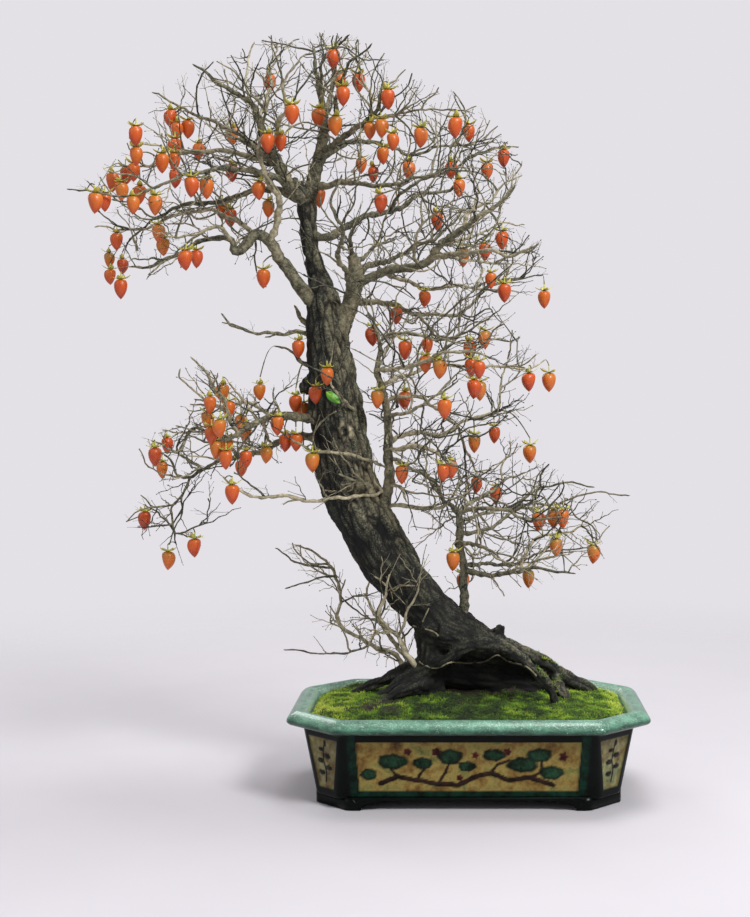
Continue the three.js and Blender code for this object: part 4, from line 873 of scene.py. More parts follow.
    [[-124, 182, 28, 1.6], [-140, 174, 12, 1.3], [-180, 168, -4, 1.1], [-231, 174, -14, 0.8]],
    [[-62, 136, 2, 4.4], [-69, 157, 0, 3.2], [-88, 186, -6, 2.8], [-113, 212, -12, 2.2], [-104, 240, -26, 1.8],
        [-96, 270, -36, 0.9]],
    [[-88, 186, -6, 2], [-78, 214, -34, 1.7], [-65, 254, -44, 0.9]],
    [[-66, 142, 18, 4], [-84, 170, 52, 2.8], [-108, 204, 76, 2.2], [-128, 240, 94, 1.6], [-120, 276, 106, 0.9]],
]

# %% [markdown]
# ## Limbs
#
# Every limb is a curve with a radius at each point. A field of small swerves kinks them all,
# so limbs that meet stay joined, and a start that lies free is led into the nearest wood.
# Nodes then turn the curves into wood: they thicken it at each old bud, sweep a ring along it
# and roughen its skin. Pale limbs are those that cross in front of the trunk or grow low, so
# each curve tells its own tone.

# %% Limbs by nodes
THICK_LIMB = 0.0045
LOW_SHOOT = 0.16
LIMB_STEP = 0.0042
TIP_RADIUS = 0.0004
LIMB_SIZES = {
    "Sides": ("Int", 8), "Bud Spacing": ("Float", 0.0135), "Bud Swelling": ("Float", 0.32),
    "Roughness": ("Float", 0.4), "Material": ("Material", None),
}
ROUGH_UP_TO = 0.0032
SWERVES = ((34, 0.0044), (110, 0.0018))
SUNK = 0.003
SLENDER = 0.004
JOINT_SWELLING = 1.4
BEFORE_TRUNK = -8


def limb_tree():
    """Kinked, knotty, rough wood along curves."""
    tree, sizes, end = node_tree("limb", LIMB_SIZES)
    here = add(tree, "GeometryNodeInputPosition").outputs[0]
    girth = add(tree, "GeometryNodeInputRadius").outputs[0]
    travelled = add(tree, "GeometryNodeSplineParameter").outputs["Length"]
    turns = sums(tree, "DIVIDE", sums(tree, "MULTIPLY", travelled, math.pi), sizes["Bud Spacing"])
    peaks = sums(tree, "POWER", sums(tree, "ABSOLUTE", sums(tree, "COSINE", turns, 0.0), 0.0), 9.0)
    lumps = add(tree, "ShaderNodeTexNoise", {"Vector": here, "Scale": 90.0, "Detail": 2.0}).outputs[0]
    slender = sums(tree, "MINIMUM", sums(tree, "DIVIDE", SLENDER, girth), 1.0)
    swelling = sums(tree, "MULTIPLY", peaks, sizes["Bud Swelling"])
    uneven = sums(tree, "MULTIPLY", sums(tree, "SUBTRACT", lumps, 0.52), 0.8)
    uneven = sums(tree, "MULTIPLY", sums(tree, "ADD", swelling, uneven), slender)
    grow = sums(tree, "MULTIPLY", girth, sums(tree, "ADD", uneven, 1.0))
    sized = add(tree, "GeometryNodeSetCurveRadius", {"Curve": sizes["Geometry"], "Radius": grow})
    kept = add(tree, "GeometryNodeStoreNamedAttribute", {
        "Geometry": sized.outputs[0], "Name": "girth", "Value": girth}, data_type="FLOAT", domain="POINT")

    ring = add(tree, "GeometryNodeCurvePrimitiveCircle", {"Resolution": sizes["Sides"], "Radius": 1.0})
    swept = add(tree, "GeometryNodeCurveToMesh", {
        "Curve": kept.outputs[0], "Profile Curve": ring.outputs[0], "Scale": girth, "Fill Caps": True})
    told_girth = add(tree, "GeometryNodeInputNamedAttribute", {"Name": "girth"}, data_type="FLOAT").outputs[0]
    rough = add(tree, "ShaderNodeTexNoise", {"Vector": here, "Scale": 300.0, "Detail": 2.0}).outputs[0]
    push = sums(tree, "MULTIPLY", sums(tree, "MINIMUM", told_girth, ROUGH_UP_TO), sizes["Roughness"])
    push = sums(tree, "MULTIPLY", push, sums(tree, "SUBTRACT", rough, 0.5))
    facing = add(tree, "GeometryNodeInputNormal").outputs[0]
    skin = add(tree, "ShaderNodeVectorMath", {0: facing, "Scale": push}, operation="SCALE").outputs[0]
    moved = add(tree, "GeometryNodeSetPosition", {"Geometry": swept.outputs[0], "Offset": skin})
    marked = add(tree, "GeometryNodeStoreNamedAttribute", {
        "Geometry": moved.outputs[0], "Name": "relief", "Value": sums(tree, "ADD", rough, 0.1)},
        data_type="FLOAT", domain="POINT")
    real = add(tree, "GeometryNodeRealizeInstances", {"Geometry": marked.outputs[0]})
    done = add(tree, "GeometryNodeSetMaterial", {"Geometry": real.outputs[0], "Material": sizes["Material"]})
    tree.links.new(done.outputs[0], end.inputs[0])
    return tree


def kinked(path):
    """A path moved by the field of small swerves."""
    centres, radii = path
    for scale, reach in SWERVES:
        centres = [centre + noise.noise_vector(centre * scale) * reach * min(1, SLENDER / radius)
                   for centre, radius in zip(centres, radii)]
    return centres, radii


def rooted(path, wood):
    """A path with its start led into the nearest wood, if it lies free of it."""
    centres, radii = path
    places, girths = wood
    gaps = np.linalg.norm(places - np.array(centres[0]), axis=1) - girths
    nearest = int(gaps.argmin())
    if gaps[nearest] < -0.6 * radii[0]:
        return path
    way = Vector(places[nearest]) - centres[0]
    root = centres[0] + way.normalized() * min(way.length, gaps[nearest] + radii[0] + SUNK)
    steps = max(1, round((root - centres[0]).length / LIMB_STEP))
    return [root.lerp(centres[0], i / steps) for i in range(steps)] + centres, [radii[0]] * steps + radii


def wood_of(paths):
    """All the centres and radii of some paths, as rows."""
    places = np.array([list(centre) for centres, _ in paths for centre in centres])
    return places, np.array([radius for _, radii in paths for radius in radii])


def limb_tone(centres, radii):
    """How pale a limb is: palest low down and before the trunk."""
    start = centres[0] - POT
    if start.z < LOW_SHOOT:
        return 0.78 + chance(-0.08, 0.08)
    before_trunk = start.y < -0.004 and radii[0] < 0.006
    return (0.78 if before_trunk else 0.52) + chance(-0.1, 0.08)


def curves_of(paths, name):
    """One curve object with an open spline for each path, and its tone."""
    curve = bpy.data.curves.new(name, "CURVE")
    curve.dimensions = "3D"
    for centres, radii in paths:
        spline = curve.splines.new("POLY")
        spline.points.add(len(centres) - 1)
        for point, centre, radius in zip(spline.points, centres, radii):
            point.co = (*centre, 1)
            point.radius = radius
    return put(name, curve)


def tell_limb_tone(mesh, paths, tones):
    """Gives each point of the wood the tone of the path that it lies on."""
    finder = kdtree.KDTree(sum(len(centres) for centres, _ in paths))
    owner = []
    for i, (centres, _) in enumerate(paths):
        for centre in centres:
            finder.insert(centre, len(owner))
            owner.append(i)
    finder.balance()
    shares = [tones[owner[finder.find(vertex.co)[1]]] for vertex in mesh.vertices]
    girths = np.empty(len(mesh.vertices), np.float32)
    mesh.attributes["girth"].data.foreach_get("value", girths)
    tell(mesh, "tone", np.array(shares) - 0.12 * np.clip(1.6 - girths / MM, 0, 1))


LIMB_PATHS = []
for points in LIMBS:
    swelling = 1 if points[0][2] < BEFORE_TRUNK else JOINT_SWELLING
    points[0][3] = min(points[0][3], swelling * points[1][3])
    path = rooted(kinked(flowing(points, LIMB_STEP)), wood_of(OLD_PATHS + LIMB_PATHS))
    path[1][-1] = TIP_RADIUS
    LIMB_PATHS.append(path)
LIMB_TONES = [limb_tone(*path) for path in LIMB_PATHS]
LIMB_TREE = limb_tree()


def limbs(name, sides, chosen, tones):
    """One piece of wood from paths and their tones."""
    wood = grown(curves_of(chosen, name), LIMB_TREE, {"Sides": sides, "Material": BARK})
    tell_limb_tone(wood, chosen, tones)
    wood.shade_smooth()
    return finished(put(name, wood), ["tree"])


thick = [path[1][0] >= THICK_LIMB for path in LIMB_PATHS]
for name, sides, wanted in (("thick_limbs", 12, True), ("thin_limbs", 7, False)):
    chosen = [i for i, is_thick in enumerate(thick) if is_thick == wanted]
    limbs(name, sides, [LIMB_PATHS[i] for i in chosen], [LIMB_TONES[i] for i in chosen])

# %% [markdown]
# ## Dead twigs and a painted highlight
#
# A few dead twigs lie against the trunk, and a pale rootlet runs along the lower edge of the
# arched root as a painted highlight on that edge. They are drawn flat, and each point is
# brought up to the skin behind it.

# %% Stray wood and a painted highlight on the trunk
STRAY_TWIGS_AND_HIGHLIGHT = [
    # The first line is the pale rootlet, a painted highlight along the arched root's lower edge
    [(-62, 158), (-50, 151), (-38, 150), (-22, 157), (0, 156), (20, 158), (36, 166), (50, 158), (72, 152), (85, 140)],
    [(-103, 265), (-95, 247), (-85, 253), (-65, 253)], [(-58, 208), (-50, 225)], [(-70, 203), (-45, 196), (-38, 190)],
    [(-180, 373), (-150, 372), (-145, 380)], [(-170, 560), (-172, 540), (-175, 530)],
]
STRAY_RADIUS = 0.95
OLD_WOOD = wood_of(OLD_PATHS)


def skin_depth(x, height):
    """How deep the old wood's skin lies behind a point of the drawing, from the front."""
    for depth in range(-70, 60):
        place = np.array(carried(x, height, depth))
        if (np.linalg.norm(OLD_WOOD[0] - place, axis=1) < OLD_WOOD[1] + STRAY_RADIUS * 0.5 * MM).any():
            return depth
    return -30


stray_paths = [flowing([(x, z, skin_depth(x, z), STRAY_RADIUS) for x, z in line], 0.003) for line in STRAY_TWIGS_AND_HIGHLIGHT]
limbs("stray_twigs", 6, stray_paths, [0.66] * len(stray_paths))

# %% [markdown]
# ## Where the fruit hang
#
# The frame's own fruit give their tops exactly. The rest of the crop was counted on the tree
# and is drawn here by the middles of the fruit. Each of those takes the depth of the limb
# that is drawn above it, and then steps to and fro until it clears the wood and the others.

# %% Places of the fruit
FRUIT_LENGTH = 27
STALK_LENGTH = 9
FRUIT_GIRTH = 8.2
MORE_FRUITS = [
    (-418, 790), (-370, 783), (-369, 801), (-367, 822), (-353, 825), (-339, 796), (-421, 770),
    (-431, 765), (-437, 746), (-413, 742), (-422, 728), (-457, 732), (-394, 729), (-369, 762),
    (-349, 752), (-329, 750), (-236, 806), (-263, 747), (-252, 724), (-167, 829), (-158, 866),
    (-124, 821), (-110, 825), (-96, 807), (-107, 791), (-135, 778), (-120, 767), (-222, 843),
    (-452, 659), (-435, 651), (-342, 661), (-214, 548), (-16, 827), (23, 772), (-22, 773), (20, 670),
    (-7, 663), (-56, 610), (-120, 565), (21, 560), (13, 521), (14, 496), (76, 507), (32, 440),
    (-84, 390), (-22, 396), (-32, 391), (9, 376), (-7, 255), (110, 299), (-178, 513), (-325, 477),
    (-262, 493), (-329, 458), (-318, 421), (-305, 425), (-280, 409), (-255, 414), (-240, 452),
    (-217, 430), (-379, 426), (-385, 396), (-383, 677), (-309, 722), (-297, 768), (-162, 885),
    (-12, 751), (-76, 773), (28, 633), (-91, 589), (-52, 551), (3, 524), (6, 498), (-54, 528),
    (-37, 523), (-115, 485), (34, 365), (87, 332), (119, 335), (-192, 490), (-217, 479), (-301, 472),
    (-312, 448), (-323, 439), (-280, 443), (-286, 455), (-305, 409), (-286, 397), (-231, 430),
    (-450, 638),
]
DEPTH_STEPS = [0, -9, 9, -18, 18, -27, 27, -38, 38, -50, 50]
FRUIT_ROOM = [(-4, 8.2), (-12, 9.0), (-20, 7.0)]
APART = 17.5

WOOD_POINTS, WOOD_RADII = wood_of(OLD_PATHS + LIMB_PATHS)


def clear_of_wood(point, radius):
    """Whether a ball at a point touches no trunk, root or limb."""
    return bool((np.linalg.norm(WOOD_POINTS - np.array(point), axis=1) > WOOD_RADII + radius * MM).all())


def drawn_depth(x, height):
    """The depth of the limb that is drawn nearest to a point of the drawing."""
    best = (math.inf, 0)
    for points in LIMBS:
        for (ax, az, ad, _), (bx, bz, bd, _) in zip(points, points[1:]):
            run = (bx - ax, bz - az)
            share = ((x - ax) * run[0] + (height - az) * run[1]) / (run[0] ** 2 + run[1] ** 2)
            share = min(1, max(0, share))
            gap = math.hypot(ax + run[0] * share - x, az + run[1] * share - height)
            best = min(best, (gap, ad + (bd - ad) * share))
    return best[1]


def hangs_clear(top, others):
    """Whether a fruit below this top touches neither wood nor other fruit."""
    apart = all(math.hypot(top.x - o.x, top.y - o.y) > APART * MM or abs(top.z - o.z) > (FRUIT_LENGTH + 3) * MM
                for o in others)
    return apart and all(clear_of_wood(top + Vector((0, 0, rise * MM)), room) for rise, room in FRUIT_ROOM)


FRUIT_NODES = sorted(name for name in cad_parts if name.startswith("fruit_"))


def frame_top(name):
    """The top of a berry in the frame, under its stalk."""
    low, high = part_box(name)
    return Vector(((low.x + high.x) / 2, (low.y + high.y) / 2, high.z - STALK_LENGTH * MM))


FRUIT_TOPS = [frame_top(name) for name in FRUIT_NODES]
for x, height in MORE_FRUITS:
    depth = drawn_depth(x, height + FRUIT_LENGTH)
    for step in DEPTH_STEPS:
        top = carried(x, height, depth + step) + Vector((0, 0, FRUIT_LENGTH / 2 * MM))
        if hangs_clear(top, FRUIT_TOPS):
            FRUIT_TOPS.append(top)
            break
print(len(FRUIT_TOPS), "fruit,", len(FRUIT_NODES), "of them from the frame")

# %% [markdown]
# ## Repeats
#
# Twigs, berries, calyxes and moss tufts are all a few forms set many times. A mesh of bare
# points tells each copy its form, turn and size, and one small tree of nodes sets the forms
# on the points. It ends by making the copies real, so that they are one plain mesh.

# %% Copies on points
COPY_SIZES = {"Forms": ("Collection", None), "Material": ("Material", None)}


def copy_tree():
    """Sets forms on points, by the form, turn and size that each point tells."""
    tree, sizes, end = node_tree("copies", COPY_SIZES)

    def named(name, kind):
        node = add(tree, "GeometryNodeInputNamedAttribute", {"Name": name}, data_type=kind)
        return node.outputs["Attribute"]

    forms = add(tree, "GeometryNodeCollectionInfo", {
        "Collection": sizes["Forms"], "Separate Children": True, "Reset Children": True})
    turn = add(tree, "FunctionNodeEulerToRotation", {0: named("turn", "FLOAT_VECTOR")}).outputs[0]
    copies = add(tree, "GeometryNodeInstanceOnPoints", {
        "Points": sizes["Geometry"], "Instance": forms.outputs[0], "Pick Instance": True,
        "Instance Index": named("form", "INT"), "Rotation": turn, "Scale": named("size", "FLOAT_VECTOR")})
    real = add(tree, "GeometryNodeRealizeInstances", {"Geometry": copies.outputs[0]})
    done = add(tree, "GeometryNodeSetMaterial", {"Geometry": real.outputs[0], "Material": sizes["Material"]})
    tree.links.new(done.outputs[0], end.inputs[0])
    return tree


COPY_TREE = copy_tree()


def forms_of(name, meshes):
    """A collection of forms, kept out of the scene."""
    shelf = bpy.data.collections.new(name)
    for i, mesh in enumerate(meshes):
        shelf.objects.link(bpy.data.objects.new(f"{name}_{i}", mesh))
    return shelf


def copies_of(name, shelf, places, made_of):
    """One mesh of forms at places, which are (point, euler, size, form, shade) each."""
    points = bpy.data.meshes.new(name)
    points.from_pydata([tuple(place[0]) for place in places], [], [])
    tell(points, "turn", [tuple(place[1]) for place in places], "FLOAT_VECTOR")
    tell(points, "size", [(place[2],) * 3 for place in places], "FLOAT_VECTOR")
    tell(points, "form", [place[3] for place in places], "INT")
    tell(points, "shade", [place[4] for place in places])
    made = grown(put(name, points), COPY_TREE, {"Forms": shelf, "Material": made_of})
    made.shade_smooth()
    return put(name, made)


def turned_to(direction, twist):
    """The turn that lays a form's own upright along a direction."""
    turn = direction.to_track_quat("Z", "Y").to_matrix()
    return (turn @ Euler((0, 0, twist)).to_matrix()).to_euler()


print("copies are set by form, turn and size")

# %% [markdown]
# ## Twigs
#
# Bare persimmon twigs are thin and stiff. They change direction a little at every bud, the
# buds stand on alternate sides, and side shoots leave some of them. Six forms, each drawn
# upright, are enough once they are turned and sized by chance.

# %% Forms of twig
TWIG_LENGTH = 56
TWIG_RADIUS = 1.1
TWIG_TONES = (0.3, 0.68)
LOW_TWIG = 0.3
TWIG_RELIEF = 0.6
BUD_TONE = 0.16
# The joints that side shoots leave from, for each form
TWIG_SHOOTS = [(1, 3), (2, 4), (), (1, 2), (3,), (1, 3, 4)]


def twig_form(number, tone):
    """An upright twig with its zigzag, buds and side shoots."""
    shape = Shape()

    def bud(at, towards, length):
        ahead = towards.normalized()
        side = ahead.orthogonal().normalized()
        other = ahead.cross(side)
        middle = at + ahead * length * 0.42
        ring = [middle + side * (0.3 * length * math.cos(a)) + other * (0.3 * length * math.sin(a))
                for a in (0, 2 * math.pi / 3, 4 * math.pi / 3)]
        points = [at - ahead * 0.2 * length, *ring, at + ahead * length]
        shape.take(points, [[0, 2, 1], [0, 3, 2], [0, 1, 3], [4, 1, 2], [4, 2, 3], [4, 3, 1]], BUD_TONE)

    def shoot(start, ahead, joints, reach, radius, spurs):
        centres = [start]
        plane = ahead.orthogonal().normalized()
        plane.rotate(Euler((0, 0, chance(0, 6.28))))
        for joint in range(joints):
            swing = plane * (0.26 if joint % 2 else -0.26)
            lift = Vector((0, 0, 0.1))
            step = (ahead + swing + lift + Vector((chance(-0.1, 0.1), chance(-0.1, 0.1), 0))).normalized()
            centres.append(centres[-1] + step * reach * chance(0.8, 1.15))
        radii = [radius * (1 - 0.55 * i / joints) for i in range(joints + 1)]
        shape.take(*tube(centres, radii, 4), tone)
        for joint in range(1, joints):
            side = plane * (1 if joint % 2 else -1)
            if joint in (spurs or ()):
                shoot(centres[joint], (ahead * 0.9 + side).normalized(), 2 + joint % 2, 0.85 * reach,
                      0.8 * radii[joint], None)
            elif spurs is not None:
                bud(centres[joint], ahead * 0.8 + side, 2.5 * MM)
        bud(centres[-1], centres[-1] - centres[-2], 3.2 * MM)

    joints = 5 + number % 2
    shoot(Vector(), Vector((0, 0, 1)), joints, TWIG_LENGTH / joints * MM, TWIG_RADIUS * MM, TWIG_SHOOTS[number])
    made = shape.mesh(f"twig_{number}")
    tell(made, "relief", [TWIG_RELIEF] * len(made.vertices))
    return made


TWIGS = forms_of("twig", [twig_form(number, tone) for tone in TWIG_TONES for number in range(len(TWIG_SHOOTS))])

# %% [markdown]
# ## Branchlets
#
# The crown's net is made by branchlets, too fine and too many to draw. They leave the thin
# limbs at an even chance, wander outwards and a little up, and stop before they would run
# into a fruit, the trunk or the moss, or out of the crown's drawn outline.

# %% Wandering branchlets
BRANCHLET_SPACING = 0.036
BRANCHLET_STEP = 0.0075
BRANCHLET_LENGTHS = (0.045, 0.125)
BRANCHLET_RADIUS = 1.4
THICKEST_TWIGGY = 0.0046
LOWEST_TWIG = 0.15
BOX_ROOM = 0.004
# The crown's outline from the front, drawn in x and height like the limbs
CROWN = [
    (-174, 952), (-126, 939), (-86, 907), (-33, 884), (7, 864), (50, 816), (70, 782), (67, 751),
    (45, 721), (90, 690), (102, 644), (82, 612), (45, 585), (97, 542), (110, 512), (92, 474), (57, 447),
    (92, 418), (122, 384), (200, 371), (180, 336), (168, 283), (115, 264), (65, 240), (14, 238),
    (-36, 235), (-49, 185), (-80, 142), (-155, 155), (-235, 172), (-204, 220), (-169, 230), (-192, 260),
    (-245, 296), (-227, 313), (-174, 291), (-147, 250), (-116, 248), (-155, 336), (-212, 351),
    (-275, 361), (-292, 346), (-330, 321), (-335, 288), (-378, 268), (-426, 317), (-436, 341),
    (-390, 384), (-411, 409), (-418, 444), (-365, 457), (-345, 492), (-365, 519), (-345, 540),
    (-297, 509), (-252, 502), (-212, 530), (-212, 550), (-260, 565), (-320, 587), (-307, 600),
    (-212, 575), (-209, 612), (-242, 633), (-269, 623), (-287, 653), (-338, 646), (-378, 653),
    (-426, 612), (-456, 623), (-466, 660), (-447, 693), (-483, 723), (-506, 751), (-458, 778),
    (-436, 804), (-421, 834), (-401, 874), (-338, 907), (-287, 927), (-250, 947), (-212, 942),
]
FRUIT_MIDDLES = np.array([list(top - Vector((0, 0, 12 * MM))) for top in FRUIT_TOPS])


def within_crown(place):
    """Whether a place is seen inside the crown's drawn outline."""
    away = place - POT
    scale = 1 + away.y / EYE_DISTANCE
    x, height = away.x / scale / MM, ((away.z - EYE_HEIGHT) / scale + EYE_HEIGHT) / MM
    inside = False
    for (ax, az), (bx, bz) in zip(CROWN, CROWN[1:] + CROWN[:1]):
        if (az > height) != (bz > height) and x < ax + (bx - ax) * (height - az) / (bz - az):
            inside = not inside
    return inside


def free(place):
    """Whether a twig may pass a place: in the crown and the box, off the moss, fruit and trunk."""
    if not within_crown(place):
        return False
    if any(not low + BOX_ROOM < value < high - BOX_ROOM for low, value, high in zip(CAD_BOX[0], place, CAD_BOX[1])):
        return False
    offsets = FRUIT_MIDDLES - np.array(place)
    offsets[:, 2] *= 0.62
    if place.z < LOWEST_TWIG or (np.linalg.norm(offsets, axis=1) < 0.0105).any():
        return False
    return bool((np.linalg.norm(OLD_WOOD[0] - np.array(place), axis=1) > OLD_WOOD[1]).all())


def branchlet(start, ahead, radius, length):
    """A wandering path, as far as it is free."""
    centres = [start]
    for _ in range(round(length / BRANCHLET_STEP)):
        ahead = (ahead + Vector((chance(-0.4, 0.4), chance(-0.4, 0.4), chance(-0.3, 0.42)))).normalized()
        place = centres[-1] + ahead * BRANCHLET_STEP
        if not free(place):
            break
        centres.append(place)
    thinning = (radius - 0.75) / max(1, len(centres) - 1)
    return centres, [(radius - thinning * i) * MM for i in range(len(centres))]


def sideways(ahead, side):
    """A direction across a limb, on the other side than the last."""
    side = -side + Vector((chance(-0.9, 0.9), chance(-0.9, 0.9), chance(-0.35, 0.75)))
    return (side - ahead * side.dot(ahead)).normalized()


def leaving(paths, spacing):
    """Points at a spacing along thin wood, as (centre, ahead, side, radius)."""
    for centres, radii in paths:
        travelled = chance(0, spacing)
        side = Vector((chance(-1, 1), chance(-1, 1), chance(-0.4, 1))).normalized()
        for i in range(1, len(centres) - 1):
            travelled += (centres[i] - centres[i - 1]).length
            if radii[i] <= THICKEST_TWIGGY and travelled >= spacing:
                travelled = chance(-0.25, 0.25) * spacing
                ahead = (centres[i + 1] - centres[i - 1]).normalized()
                side = sideways(ahead, side)
                yield centres[i], ahead, side, radii[i]


BRANCHLETS = []
for start, ahead, side, radius in leaving(LIMB_PATHS, BRANCHLET_SPACING):
    path = branchlet(start, (ahead * chance(0.5, 1.2) + side).normalized(),
                     min(BRANCHLET_RADIUS, max(1.0, radius / MM)), chance(*BRANCHLET_LENGTHS))
    if len(path[0]) > 3:
        BRANCHLETS.append(path)
limbs("branchlets", 5, BRANCHLETS, [chance(0.3, 0.8) for _ in BRANCHLETS])
print(len(BRANCHLETS), "branchlets")

# %% [markdown]
# ## Twigs along the limbs
#
# Twigs leave a limb on alternate sides, at about the spacing of its buds, and lean towards
# the light. The tip of each thin limb ends in one. A twig that would run into a fruit or out
# of the frame's box is shortened, or left out.

# %% Places of the twigs
TWIG_SPACING = 0.022
TWIG_PIECES = 3


def fitted(start, direction, size):
    """A twig as (point, turn, size, form, shade), shortened until it is free, or nothing."""
    for shrink in (1.0, 0.6, 0.36):
        length = size * shrink * TWIG_LENGTH * MM
        if all(free(start + direction * (length * share)) for share in (0.3, 0.6, 1.0)):
            pale = start.z < LOW_TWIG or chance() > 0.6
            form = int(chance(0, len(TWIG_SHOOTS))) + pale * len(TWIG_SHOOTS)
            return [(start, turned_to(direction, chance(0, 2 * math.pi)), size * shrink, form, chance())]
    return []


TWIG_PLACES = []
for start, ahead, side, _ in leaving(LIMB_PATHS + BRANCHLETS, TWIG_SPACING):
    direction = (ahead * chance(0.35, 1.1) + side + Vector((0, 0, 0.28))).normalized()
    TWIG_PLACES += fitted(start, direction, chance(0.35, 1.0))
for centres, _ in LIMB_PATHS + BRANCHLETS:
    TWIG_PLACES += fitted(centres[-2], (centres[-1] - centres[-3]).normalized(), chance(0.4, 1.0))
for part in range(TWIG_PIECES):
    finished(copies_of(f"twigs_{part + 1}", TWIGS, TWIG_PLACES[part::TWIG_PIECES], BARK), ["tree"])
print(len(TWIG_PLACES), "twigs")

# %% [markdown]
# ## Spurs
#
# A fruit doesn't hang from the limb itself but from a short woody spur. Each runs in a soft
# bow from the nearest thin wood to the head of a stalk. Limbs' nodes make these too.

# %% Fruiting spurs
THICKEST_FRUITING = 0.009
thin = WOOD_RADII < THICKEST_FRUITING


def spur_path(top):
    """A bowed path from the nearest thin wood to the stalk's head."""
    head = top + Vector((0, 0, STALK_LENGTH * MM))
    reach = np.linalg.norm(WOOD_POINTS - np.array(head), axis=1)
    below = WOOD_POINTS[:, 2] < head.z - 0.004
    nearest = int(np.where(thin, reach + 0.02 * below, np.inf).argmin())
    root = Vector(WOOD_POINTS[nearest])
    length = (head - root).length
    bow = Vector((0, 0, 0.22 * length))
    steps = max(3, round(length / 0.004))
    centres = [root.lerp(head, i / steps) + bow * math.sin(math.pi * i / steps) for i in range(steps + 1)]
    start = min(1.3 * MM, 0.6 * WOOD_RADII[nearest])
    return centres, [start + (0.75 * MM - start) * i / steps for i in range(steps + 1)]


SPUR_PATHS = [spur_path(top) for top in FRUIT_TOPS]
limbs("fruiting_spurs", 6, SPUR_PATHS, [0.55] * len(SPUR_PATHS))
print("the longest spur is", round(max((c[-1] - c[0]).length for c, _ in SPUR_PATHS) * 1000), "mm")

# %% [markdown]
# ## Finishes of the fruit
#
# The berries are waxy and a little clear. They ripen from orange-yellow at the top to a red
# tip, some earlier than others, and end in a small dark point. The sepals are leafy: yellow
# green, with faint ribs and browned edges.

# %% Berry and sepal materials
def berry_material():
    """Ripe skin, from orange at the shoulder to red at the tip."""
    made, tree, shader, place = material(
        "berry_skin", 0.4, Coat_Weight=0.2, Coat_Roughness=0.2, Subsurface_Weight=0.12,
        Subsurface_Scale=0.004, Specular_IOR_Level=0.5)
    down = told(tree, "tone")
    ripe = told(tree, "shade")
    blush = grain(tree, place, 95, 3)
    share = sums(tree, "ADD", sums(tree, "MULTIPLY", down, 0.36), sums(tree, "MULTIPLY", ripe, 0.5))
    share = sums(tree, "ADD", share, sums(tree, "MULTIPLY", sums(tree, "SUBTRACT", blush, 0.5), 0.6), True)
    skin = ramp(tree, share, [
        (0.0, colour(170, 128, 48)), (0.22, colour(212, 114, 36)), (0.52, colour(206, 84, 26)),
        (0.8, colour(178, 60, 26)), (1.0, colour(130, 42, 24))])
    freckles = sums(tree, "GREATER_THAN", grain(tree, place, 900, 1), 0.68)
    skin = blended(tree, sums(tree, "MULTIPLY", freckles, 0.3), skin, colour(120, 52, 18))
    tip = sums(tree, "GREATER_THAN", down, 0.965)
    tree.links.new(blended(tree, tip, skin, colour(38, 24, 16)), shader.inputs["Base Color"])
    bumped(tree, shader, grain(tree, place, 260, 2), 0.14, 0.0005)
    return made


def sepal_material():
    """Leafy sepals and the late leaf."""
    made, tree, shader, place = material("sepal_green", 0.55, Subsurface_Weight=0.08, Subsurface_Scale=0.002)
    along = told(tree, "tone")
    mottle = grain(tree, place, 150, 3)
    share = sums(tree, "ADD", sums(tree, "MULTIPLY", along, 0.55), sums(tree, "MULTIPLY", mottle, 0.5), True)
    green = ramp(tree, share, [
        (0.15, colour(136, 146, 50)), (0.45, colour(186, 188, 76)), (0.7, colour(206, 200, 96)),
        (0.95, colour(160, 126, 62))])
    tree.links.new(green, shader.inputs["Base Color"])
    bumped(tree, shader, grain(tree, place, 420, 2), 0.3, 0.0004)
    return made


BERRY_SKIN = berry_material()
SEPAL_GREEN = sepal_material()

# %% [markdown]
# ## Berries
#
# A berry is turned on a lathe of points: a broad shoulder under the calyx, full girth over
# its upper third, then a round taper to the point. Four shallow lobes and a slight lean
# keep it from looking machined. The points tell how far down the berry they lie.

# %% Forms of berry
BERRY_PROFILE = [
    (0.0, 0.0), (0.0, 0.36), (0.02, 0.62), (0.06, 0.8), (0.13, 0.93), (0.23, 1.0), (0.36, 1.0), (0.5, 0.93),
    (0.63, 0.8), (0.75, 0.62), (0.85, 0.42), (0.92, 0.24), (0.96, 0.1), (1.0, 0.0),
]
BERRY_SIDES = 14
BERRY_LENGTH = 24.2
BERRY_FORMS = 5


def berry_form(number):
    """A pointed berry that hangs from its top at the origin."""
    shape = Shape()
    lean = Vector((chance(-1, 1), chance(-1, 1), 0)) * 1.4 * MM
    stout = 1.05 - 0.03 * (number % 3)
    points, tones = [], []
    for down, girth in BERRY_PROFILE[1:-1]:
        for side in range(BERRY_SIDES):
            angle = 2 * math.pi * side / BERRY_SIDES
            reach = FRUIT_GIRTH * MM * stout * girth * (1 + 0.03 * math.cos(4 * angle + 0.6 * number))
            bend = lean * math.sin(math.pi * down)
            points.append(Vector((reach * math.cos(angle), reach * math.sin(angle), -down * BERRY_LENGTH * MM)) + bend)
            tones.append(down)
    rows = len(BERRY_PROFILE) - 2
    faces = [[(row + 1) * BERRY_SIDES + side, (row + 1) * BERRY_SIDES + (side + 1) % BERRY_SIDES,
              row * BERRY_SIDES + (side + 1) % BERRY_SIDES, row * BERRY_SIDES + side]
             for row in range(rows - 1) for side in range(BERRY_SIDES)]
    top, tip = len(points), len(points) + 1
    points += [Vector((0, 0, -0.3 * MM)), Vector((0, 0, -BERRY_LENGTH * MM))]
    tones += [0.0, 1.0]
    faces += [[side, (side + 1) % BERRY_SIDES, top] for side in range(BERRY_SIDES)]
    last = (rows - 1) * BERRY_SIDES
    faces += [[last + (side + 1) % BERRY_SIDES, last + side, tip] for side in range(BERRY_SIDES)]
    shape.take(points, faces, tones)
    return shape.mesh(f"berry_{number}")


